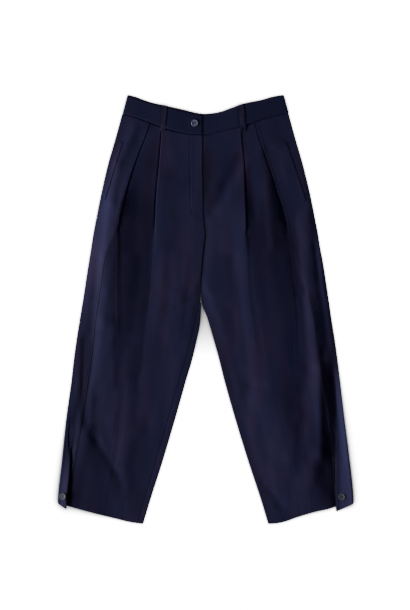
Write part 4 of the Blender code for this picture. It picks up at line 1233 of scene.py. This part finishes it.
# %% Waistband halves
def waistband_grid(leg):
    """Half of the waistband: the front from its lap, round the side, and the back to the centre seam."""
    side = leg.side
    end = abs(BAND_END[side]) + BAND_LEAN
    lap_end = leg.outward * (CENTRE + SEAM_GAP if side == "left" else CENTRE - BAND_UNDERLAP)
    edge = end - BAND / 2
    side_z = band_height(side, leg.outward * end)
    radius = (side_z - BAND / 2) / 2
    turn = [
        (edge - radius + radius * cos(angle), side_z - radius + radius * sin(angle))
        for angle in np.linspace(pi / 2, -pi / 2, TURN_COLUMNS)[1:]
    ]
    loop_out = abs(sum(LOOPS[side])) / 2
    outs = np.linspace(lap_end, edge - radius, BAND_COLUMNS)
    near_loop = np.linspace(loop_out - LOOP_ROOM, loop_out + LOOP_ROOM, LOOP_COLUMNS)
    outs = np.sort(np.concatenate([outs[np.abs(outs - loop_out) > LOOP_ROOM], near_loop]))
    front = [(out, band_height(side, leg.outward * out)) for out in outs]
    stops = [float(stop[0]) for stop in back_stops(leg, np.array([0.0]))]
    back_outs = np.concatenate([[leg.out(np.array([0.0]), "outer")[0] - WRAP_UNDER], stops])
    back = [(out, BAND / 2) for out in np.interp(np.linspace(0, 6, BACK_COLUMNS), np.arange(7), back_outs)]
    rows, pressed = [], []
    for across in BAND_SHARES:
        made, dark = [], []
        for step, (out, z) in enumerate(front + turn + back):
            x = leg.outward * (out - BAND_LEAN * (1 - across) * out / end)
            on_back = step >= len(front) + len(turn) - 1
            top = band_top(x) + (BACK_BAND_DROP if on_back else 0)
            low = waist_seam(x) + (WAIST_DITCH if on_back else -BAND_SHORT)
            from_top, from_seam = across * (low - top), (1 - across) * (low - top)
            top_roll = TOP_ROLL * (1 - ease(from_top / TOP_ROLL_WIDTH))
            seam_roll = SEAM_ROLL * (1 - ease(from_seam / SEAM_ROLL_WIDTH))
            roll = 0 if on_back else top_roll + seam_roll
            if step < len(LAP_ROLL):
                roll += LAP_ROLL[step]
            down = top + across * (low - top)
            if not on_back:
                from_loop = abs(x - loop_centre(side, down)) - LOOP_WIDTH / 2
                roll += LOOP_DIP * bell(from_loop - LOOP_DIP_AT, LOOP_DIP_WIDTH)
            made.append((x, TOP_EDGE - down, max(z - roll, BAND / 2)))
            # Painted shade along the front's top edge
            dark.append(0 if on_back else EDGE_PAINTED_SHADE * (1 - ease(from_top / EDGE_WIDTH)))
        rows.append(made)
        pressed.append(dark)
    return np.array(rows, float), np.array(pressed, float)


bands = {}
for side, leg in LEGS.items():
    grid, pressed = waistband_grid(leg)
    bands[side] = cloth_piece(f"waistband_{side}_cloth", grid, BAND_SHELL, band_finish, pressed)
    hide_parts(f"waistband_{side}")
    print("waistband", side, len(bands[side].data.polygons), "faces")

# %% [markdown]
# ## Laying small pieces on the cloth
# Loops, welts, stitches and buttons lie on cloth that is already made. A ray is sent down to the cloth
# at each of their points, and what it hits sets their height.

# %% Reading a piece's upper face
def top_of(pieces):
    """A function that reads the height of the highest of some pieces at a point, in millimetres."""
    graph = bpy.context.evaluated_depsgraph_get()
    trees = [BVHTree.FromObject(piece, graph) for piece in pieces]

    def height_at(x, down):
        above = Vector((x, TOP_EDGE - down, 100)) * MM
        hits = [tree.ray_cast(above, Vector((0, 0, -1)))[0] for tree in trees]
        return max([hit.z / MM for hit in hits if hit] + [0.0])

    return height_at


knee_height = top_of([panels["front_left"]])(-160, 500)
print("the left front lies", round(knee_height, 1), "mm high at the knee")

# %% [markdown]
# ## Belt loops
# A loop is a strip of cloth folded in three and stitched along both edges. Its foot is turned under and
# sewn over the waist seam, and its head wraps over the top of the band.

# %% Belt loops
LOOP_SHELL = 0.3
LOOP_GAP = 0.06
LOOP_PITCH = LOOP_SHELL + LOOP_GAP
LOOP_STITCH = 0.39      # the share of its width at which it is stitched
LOOP_FOOT_REACH = 9     # how much of its foot is turned under
LOOP_ACROSS = np.linspace(-0.5, 0.5, 29)
LOOP_ROLL = 0.25        # how far its edges roll down
LOOP_FLAT = 0.44        # the share of its width at which they start to
LOOP_EDGE = 0.06
LOOP_PULL = 0.34        # how deep its stitches pull it in
LOOP_PULL_WIDTH = 0.6
LOOP_DARK_FROM = 0.41   # the share of its width from which its edges take painted shade
LOOP_FOOT_EDGE = 2.0
LOOP_FOOT_FADE = 0.8
LOOP_FOOT_STEPS = 14    # the steps of its foot and of its head, which stay unrolled
LOOP_HEAD_STEPS = 26
LOOP_STEP_FADE = 6


def belt_loop_grid(side):
    """The strip from its turned foot up over the waistband and down behind it."""
    top_x, bottom_x = LOOPS[side]
    band_z = float(band_height(side, top_x))
    off = BAND_SHELL / 2 + LOOP_GAP + LOOP_SHELL / 2
    above, behind = band_z + off, band_z - off
    height_at = top_of([panels[f"front_{side}"]])
    rows, counts = [], None
    for across in LOOP_ACROSS:
        top = float(band_top(top_x + across * LOOP_WIDTH))
        foot_x = bottom_x + across * LOOP_WIDTH
        foot = [height_at(foot_x + dx, LOOP_BOTTOM - up) for dx in (-2, 0, 2) for up in (0, 3)]
        seat = max(foot) + LOOP_GAP + LOOP_SHELL / 2
        path = [
            # the foot, turned under
            (LOOP_BOTTOM - LOOP_FOOT_REACH, seat), (LOOP_BOTTOM - 1, seat),
            (LOOP_BOTTOM, seat + LOOP_PITCH / 2),
            (LOOP_BOTTOM - 1, seat + LOOP_PITCH), (LOOP_BOTTOM - 6, seat + LOOP_PITCH),
            # up over the band
            (LOOP_BOTTOM - 12, max(seat + LOOP_PITCH, above)), (top + 15, above + 0.15), (top + 3, above),
            # the head, over the top and down behind
            (top + 0.7, above - 0.1), (top - 0.2, band_z + 0.3), (top - 0.2, band_z - 0.3),
            (top + 0.7, behind), (top + 2, behind), (top + 6, behind),
        ]
        control = np.array([[(down, z, 0, 0) for down, z in path]], float)
        counts = counts or step_counts(control, 1.5, 14)
        curve = smooth(control, counts)[0]
        edge_roll = LOOP_ROLL * ease((abs(across) - LOOP_FLAT) / LOOP_EDGE)
        pulled = LOOP_PULL * bell((abs(across) - LOOP_STITCH) * LOOP_WIDTH, LOOP_PULL_WIDTH)
        foot_off, head_off = LOOP_FOOT_STEPS, len(curve) - LOOP_HEAD_STEPS
        made = []
        for step, (down, z, _, _) in enumerate(curve):
            on_top = ease((step - foot_off) / LOOP_STEP_FADE) * ease((head_off - step) / LOOP_STEP_FADE)
            x = top_x + (bottom_x - top_x) * (down - top) / (LOOP_BOTTOM - top) + across * LOOP_WIDTH
            made.append((x, TOP_EDGE - down, z - (edge_roll + pulled) * on_top))
        rows.append(made)
    grid = np.array(rows, float)
    # Painted shade along both long edges and at the foot
    side_edge = ease((np.abs(LOOP_ACROSS) - LOOP_DARK_FROM) / LOOP_EDGE)[:, None]
    foot_edge = ease((TOP_EDGE - grid[..., 1] - LOOP_BOTTOM + LOOP_FOOT_EDGE) / LOOP_FOOT_FADE)
    return grid, EDGE_PAINTED_SHADE * np.maximum(side_edge, foot_edge)


loops = {}
for side in LEGS:
    grid, pressed = belt_loop_grid(side)
    loops[side] = cloth_piece(f"belt_loop_{side}_cloth", grid, LOOP_SHELL, cloth_finish, pressed)
    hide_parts(f"belt_loop_{side}")
    print("belt loop", side, len(loops[side].data.polygons), "faces")

# %% [markdown]
# ## Pocket welts
# A welt is a narrow folded strip sewn over the pocket's mouth. It is laid on the side panel, just above
# the highest point of the panel near each of its own.

# %% Pocket welts
WELT_SHELL = 0.3
WELT_GAP = 0.12
# how dark the painted shade along a welt's long edges is
WELT_MARK = 0.75
WELTS = {
    # the top outer, top inner, low outer and low inner corner, each as x and down
    "left": ((-192, 100), (-182, 105), (-227, 212), (-221, 231)),
    "right": ((178.5, 104), (164, 99), (221.5, 231), (212, 238)),
}
WELT_ACROSS = (0, 0.06, 0.14, 0.3, 0.5, 0.7, 0.86, 0.94, 1)
WELT_ROWS = 60
WELT_ROLL = 0.12
WELT_SIDE_SHARE = 0.14   # the share of its width over which a long edge rolls down
WELT_END_SHARE = 0.02
WELT_MARK_AT = 0.05
WELT_MARK_FADE = 0.12


def welt_grid(leg):
    """A strip of points on the side panel, with rolled edges."""
    top_outer, top_inner, low_outer, low_inner = (np.array(corner, float) for corner in WELTS[leg.side])
    height_at = top_of([panels[f"side_{leg.side}"]])
    rows = []
    for along in np.linspace(0, 1, WELT_ROWS):
        made = []
        for across in WELT_ACROSS:
            outer = top_outer + along * (low_outer - top_outer)
            inner = top_inner + along * (low_inner - top_inner)
            x, down = outer + across * (inner - outer)
            seat = max(height_at(x + dx, down) for dx in (-1, 0, 1))
            side_roll = 1 - ease(min(across, 1 - across) / WELT_SIDE_SHARE)
            end_roll = 1 - ease(min(along, 1 - along) / WELT_END_SHARE)
            roll = WELT_ROLL * (side_roll + end_roll)
            made.append((x, TOP_EDGE - down, seat + WELT_GAP + WELT_SHELL / 2 - roll))
        rows.append(made)
    # Painted shade along both long edges
    from_edge = np.minimum(WELT_ACROSS, 1 - np.array(WELT_ACROSS))
    edge = WELT_MARK * (1 - ease((from_edge - WELT_MARK_AT) / WELT_MARK_FADE))
    return np.array(rows, float), np.repeat(edge[None, :], WELT_ROWS, axis=0)


welts = {}
for side, leg in LEGS.items():
    grid, pressed = welt_grid(leg)
    welts[side] = cloth_piece(f"pocket_welt_{side}_cloth", grid, WELT_SHELL, cloth_finish, pressed)
    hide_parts(f"pocket_welt_{side}")
    print("welt", side, len(welts[side].data.polygons), "faces")

# %% [markdown]
# ## Stitches
# One stitch is a short rounded grain of thread. It is modelled once and copied along every seam line,
# each row joined into one mesh. A stitch shows 2.3 mm of thread, with 0.6 mm to the next, so the row
# reads as a dotted line from near and as a fine line from afar.

# %% One stitch
STITCH_LENGTH = 2.3
STITCH_WIDTH = 0.5
STITCH_PITCH = 2.9
STITCH_LIFT = 0.03
STITCH_GRIP = 0.7    # the share of its half length at which its height is read
bpy.ops.object.select_all(action="DESELECT")
bpy.ops.mesh.primitive_uv_sphere_add(segments=8, ring_count=6, radius=0.5 * MM)
master_stitch = bpy.context.object
bpy.ops.object.mode_set(mode="EDIT")
bpy.ops.mesh.select_all(action="SELECT")
bpy.ops.transform.rotate(value=pi / 2, orient_axis="Y", center_override=(0, 0, 0))
bpy.ops.transform.resize(value=(STITCH_LENGTH, STITCH_WIDTH, STITCH_WIDTH * 0.5))
bpy.ops.object.mode_set(mode="OBJECT")
stitch_points = np.array([tuple(vertex.co) for vertex in master_stitch.data.vertices]) / MM
stitch_faces = [tuple(face.vertices) for face in master_stitch.data.polygons]
bpy.data.objects.remove(master_stitch, do_unlink=True)
print("one stitch has", len(stitch_faces), "faces")


# %% Rows of stitches
def along_path(path, pitch):
    """Points at even steps along a path, with the direction of each."""
    path = np.array(path, float)
    run = np.concatenate([[0], np.cumsum(np.linalg.norm(np.diff(path, axis=0), axis=1))])
    places = np.arange(pitch / 2, run[-1], pitch)
    at = np.stack([np.interp(places, run, path[:, k]) for k in range(2)], axis=1)
    ahead = np.stack([np.interp(places + 0.5, run, path[:, k]) for k in range(2)], axis=1)
    behind = np.stack([np.interp(places - 0.5, run, path[:, k]) for k in range(2)], axis=1)
    return at, ahead - behind


def stitch_row(name, paths, under):
    """Stitches along paths of (x, down) points, lying on the pieces under them, joined into one mesh."""
    height_at = top_of(under)
    half = STITCH_LENGTH / 2
    points, faces = [], []
    for path in paths:
        for (x, down), (step_x, step_down) in zip(*along_path(path, STITCH_PITCH)):
            length = np.hypot(step_x, step_down)
            direction = np.array((step_x, -step_down)) / length
            off_x, off_down = STITCH_GRIP * half * direction[0], STITCH_GRIP * half * direction[1]
            ends = [height_at(x + k * off_x, down - k * off_down) for k in (-1, 0, 1)]
            tilt = (ends[2] - ends[0]) / (2 * STITCH_GRIP * half)
            ahead = Vector((direction[0], direction[1], tilt)).normalized()
            sideways = Vector((0, 0, 1)).cross(ahead).normalized()
            turn = np.array((ahead, sideways, ahead.cross(sideways)))
            centre = np.array((x, TOP_EDGE - down, ends[1] + STITCH_LIFT))
            first = len(points) * len(stitch_points)
            points.append(stitch_points @ turn + centre)
            faces += [tuple(first + i for i in face) for face in stitch_faces]
    data = bpy.data.meshes.new(name)
    data.from_pydata((np.concatenate(points) * MM).tolist(), [], faces)
    data.shade_smooth()
    data.materials.append(thread_finish)
    print(name, len(points), "stitches")
    return placed(name, data)


def seam_path(leg, line, offset, start, end):
    """A path beside one of the leg's lines."""
    downs = np.linspace(start, end, 60)
    return [(float(leg.lines[line](down)) + leg.outward * offset, down) for down in downs]


print("a seam path has", len(seam_path(LEGS["left"], "seam", EDGE_STITCH, STITCH_START, 880)), "points")

# %% [markdown]
# Stitches show along the side seams, the fly, both edges of each belt loop and the ends of each welt.

# %% Lay the stitches
WELT_STITCH_IN = 2.0   # how far in from its end a welt is stitched across
SEAM_STITCH_END = {"left": 880, "right": 885}
stitches = {}
for side, leg in LEGS.items():
    path = seam_path(leg, "seam", EDGE_STITCH + SEAM_GAP / 2, STITCH_START + 30, SEAM_STITCH_END[side])
    stitches[f"seam_{side}"] = stitch_row(f"seam_stitching_{side}", [path], [panels[f"side_{side}"]])
stitches["fly"] = stitch_row("fly_stitching", [FLY_STITCH], [panels["front_left"]])
for side in LEGS:
    top_x, bottom_x = LOOPS[side]
    rows = []
    for edge in (-LOOP_STITCH, LOOP_STITCH):
        top = float(band_top(top_x)) + 1
        rows.append([(top_x + edge * LOOP_WIDTH, top), (bottom_x + edge * LOOP_WIDTH, LOOP_BOTTOM - 2)])
    stitches[f"loop_{side}"] = stitch_row(f"loop_stitching_{side}", rows, [loops[side]])
for side in LEGS:
    corners = [np.array(corner, float) for corner in WELTS[side]]
    rows = []
    for outer, inner, inset in ((*corners[:2], WELT_STITCH_IN), (*corners[2:], -WELT_STITCH_IN)):
        rows.append([tuple(outer + (0, inset)), tuple(inner + (0, inset))])
    stitches[f"welt_{side}"] = stitch_row(f"welt_stitching_{side}", rows, [welts[side]])

# %% [markdown]
# ## Buttons
# The buttons are four-hole resin buttons with a raised rim. One is modelled: a disc is inset and
# pressed down for the dish, its edges are bevelled, and four holes are bored through. Each is sewn on
# with two bars of thread.

# %% One button
BUTTON_RADIUS = 7.6
BUTTON_HEIGHT = 2.0
BUTTON_DISH = 0.35
BUTTON_HOLE = 0.9        # the radius of a hole
BUTTON_HOLE_OUT = 1.9    # its distance from the middle
BUTTON_HOLES = 4
RIM_SHARE = 0.2          # the share of the radius that the rim takes
DISH_WALL_SHARE = 0.12
UNDER_RIM_SHARE = 0.22
BUTTON_ROUNDING = 0.55


def select_faces(data, wanted):
    """Selects the faces that a test picks, in object mode."""
    for face in data.polygons:
        face.select = bool(wanted(face))
    for edge in data.edges:
        edge.select = False
    for vertex in data.vertices:
        vertex.select = False


bpy.ops.object.select_all(action="DESELECT")
bpy.ops.mesh.primitive_cylinder_add(
    vertices=56, radius=BUTTON_RADIUS * MM, depth=BUTTON_HEIGHT * MM,
    location=(0, 0, BUTTON_HEIGHT / 2 * MM),
)
master_button = bpy.context.object
master_button.name = "master_button"
bpy.ops.object.transform_apply(location=True, rotation=False, scale=False)
select_faces(master_button.data, lambda face: face.normal.z > 0.9)
bpy.ops.object.mode_set(mode="EDIT")
bpy.ops.mesh.select_mode(type="FACE")
bpy.ops.mesh.inset(thickness=RIM_SHARE * BUTTON_RADIUS * MM)
bpy.ops.mesh.inset(thickness=DISH_WALL_SHARE * BUTTON_RADIUS * MM, depth=-BUTTON_DISH * MM)
bpy.ops.object.mode_set(mode="OBJECT")
select_faces(master_button.data, lambda face: face.normal.z < -0.9)
bpy.ops.object.mode_set(mode="EDIT")
bpy.ops.mesh.inset(thickness=UNDER_RIM_SHARE * BUTTON_RADIUS * MM, depth=0.0)
bpy.ops.object.mode_set(mode="OBJECT")
rounding = master_button.modifiers.new("Rounding", "BEVEL")
rounding.width = BUTTON_ROUNDING * MM
rounding.segments = 4
rounding.limit_method = "ANGLE"
rounding.angle_limit = radians(30)
drills = []
for i in range(BUTTON_HOLES):
    angle = pi / 4 + i * 2 * pi / BUTTON_HOLES
    bpy.ops.object.select_all(action="DESELECT")
    bpy.ops.mesh.primitive_cylinder_add(
        vertices=20, radius=BUTTON_HOLE * MM, depth=4 * BUTTON_HEIGHT * MM,
        location=(BUTTON_HOLE_OUT * cos(angle) * MM, BUTTON_HOLE_OUT * sin(angle) * MM, 0),
    )
    drill = bpy.context.object
    drills.append(drill)
    bore = master_button.modifiers.new(f"Bore {i}", "BOOLEAN")
    bore.object = drill
    bore.operation = "DIFFERENCE"
apply_all(master_button)
for drill in drills:
    bpy.data.objects.remove(drill, do_unlink=True)
bpy.ops.object.shade_smooth_by_angle(angle=radians(35))
print("one button has", len(master_button.data.polygons), "faces")

# %% [markdown]
# The thread bars lie across the dish between two holes each and dip into them. They are short bent
# tubes.

# %% Thread bars of a button
BAR_RADIUS = 0.34
BAR_APART = 0.288   # how far each of a bar's two strands lies off its middle
BAR_PATH = (
    # share of the way to a hole, height over the dish
    (-1.05, -1.6), (-1, -0.2), (-0.75, 0.32), (0, 0.42), (0.75, 0.32), (1, -0.2), (1.05, -1.6),
)
bar_curve = bpy.data.curves.new("bars", "CURVE")
bar_curve.dimensions = "3D"
bar_curve.bevel_depth = BAR_RADIUS * MM
bar_curve.bevel_resolution = 3
bar_curve.use_fill_caps = True
hole_at = BUTTON_HOLE_OUT * cos(pi / 4)
dish_top = BUTTON_HEIGHT - BUTTON_DISH
for row_at in (-hole_at, hole_at):
    for strand in (-BAR_APART, BAR_APART):
        spline = bar_curve.splines.new("POLY")
        spline.points.add(len(BAR_PATH) - 1)
        for point, (share, up) in zip(spline.points, BAR_PATH):
            point.co = (share * hole_at * MM, (row_at + strand) * MM, (dish_top + up) * MM, 1)
bars = placed("bars", bar_curve)
bars_mesh = bpy.data.meshes.new_from_object(bars.evaluated_get(bpy.context.evaluated_depsgraph_get()))
bpy.data.objects.remove(bars, do_unlink=True)
print("thread bars have", len(bars_mesh.polygons), "faces")

# %% [markdown]
# The waist button lies level on the band. The hem buttons are tilted by the tucks that they hold, and
# their thread sinks them a little into the cloth.

# %% Sew the buttons on
Button = namedtuple("Button", "x down tilt spin sunk under finish")
BUTTONS = {
    "button_waist": Button(-24, 62, 0, 8, 0.9, bands["left"], resin_finish),
    "button_hem_left": Button(-313, 882, -17, 20, 1.1, panels["side_left"], matt_shaded_resin_finish),
    "button_hem_right": Button(300, 884, -15, -15, 1.4, panels["side_right"], matt_shaded_resin_finish),
}
SEAT_STEPS = 24
SEAT_SHARE = 0.75   # the share of the radius at which the underside's rim rests


def seat_height(spec):
    """How high a button's underside lies when its rim rests on the cloth, less how far thread sinks it."""
    tilt = Matrix.Rotation(radians(spec.tilt), 3, "Y")
    height_at = top_of([spec.under])
    needed = []
    for i in range(SEAT_STEPS):
        angle = 2 * pi * i / SEAT_STEPS
        rim = tilt @ (SEAT_SHARE * BUTTON_RADIUS * Vector((cos(angle), sin(angle), 0)))
        needed.append(height_at(spec.x + rim.x, spec.down - rim.y) - rim.z)
    return max(needed) - spec.sunk


button_pieces = {}
for name, spec in BUTTONS.items():
    place = Matrix.Translation(Vector((spec.x, TOP_EDGE - spec.down, seat_height(spec))) * MM)
    tilted = place @ Matrix.Rotation(radians(spec.tilt), 4, "Y")
    place = tilted @ Matrix.Rotation(radians(spec.spin), 4, "Z")
    disc = placed(f"{name}_resin", master_button.data.copy())
    sewing = placed(f"{name}_thread", bars_mesh.copy())
    for piece, finish in ((disc, spec.finish), (sewing, button_thread_finish)):
        piece.data.transform(place)
        piece.data.materials.clear()
        piece.data.materials.append(finish)
    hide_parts(name)
    button_pieces[name] = (disc, sewing)
bpy.data.objects.remove(master_button, do_unlink=True)
print("buttons:", list(button_pieces))

# %% [markdown]
# ## What rides, and the cloth of each sheet
# Every piece rides on the one body. The cloth pieces are gathered as sheets, and the area of cloth that
# each takes is printed.

# %% Bodies and sheets
Cut = namedtuple("Cut", "width length area rests_on")


def cloth_area(piece):
    """Half the area of a piece's closed shell, in square metres: the cloth it takes."""
    return sum(face.area for face in piece.data.polygons) / 2


sheets = dict(panels)
sheets.update({f"waistband_{side}": piece for side, piece in bands.items()})
sheets.update({f"belt_loop_{side}": piece for side, piece in loops.items()})
sheets.update({f"pocket_welt_{side}": piece for side, piece in welts.items()})
for name, piece in sheets.items():
    print(name, "takes", round(cloth_area(piece), 5), "square metres")

for name, piece in sheets.items():
    kind, side = name.rsplit("_", 1)
    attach(piece, "root")
for piece in stitches.values():
    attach(piece, "root")
for disc, sewing in button_pieces.values():
    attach(disc, "root")
    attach(sewing, "root")
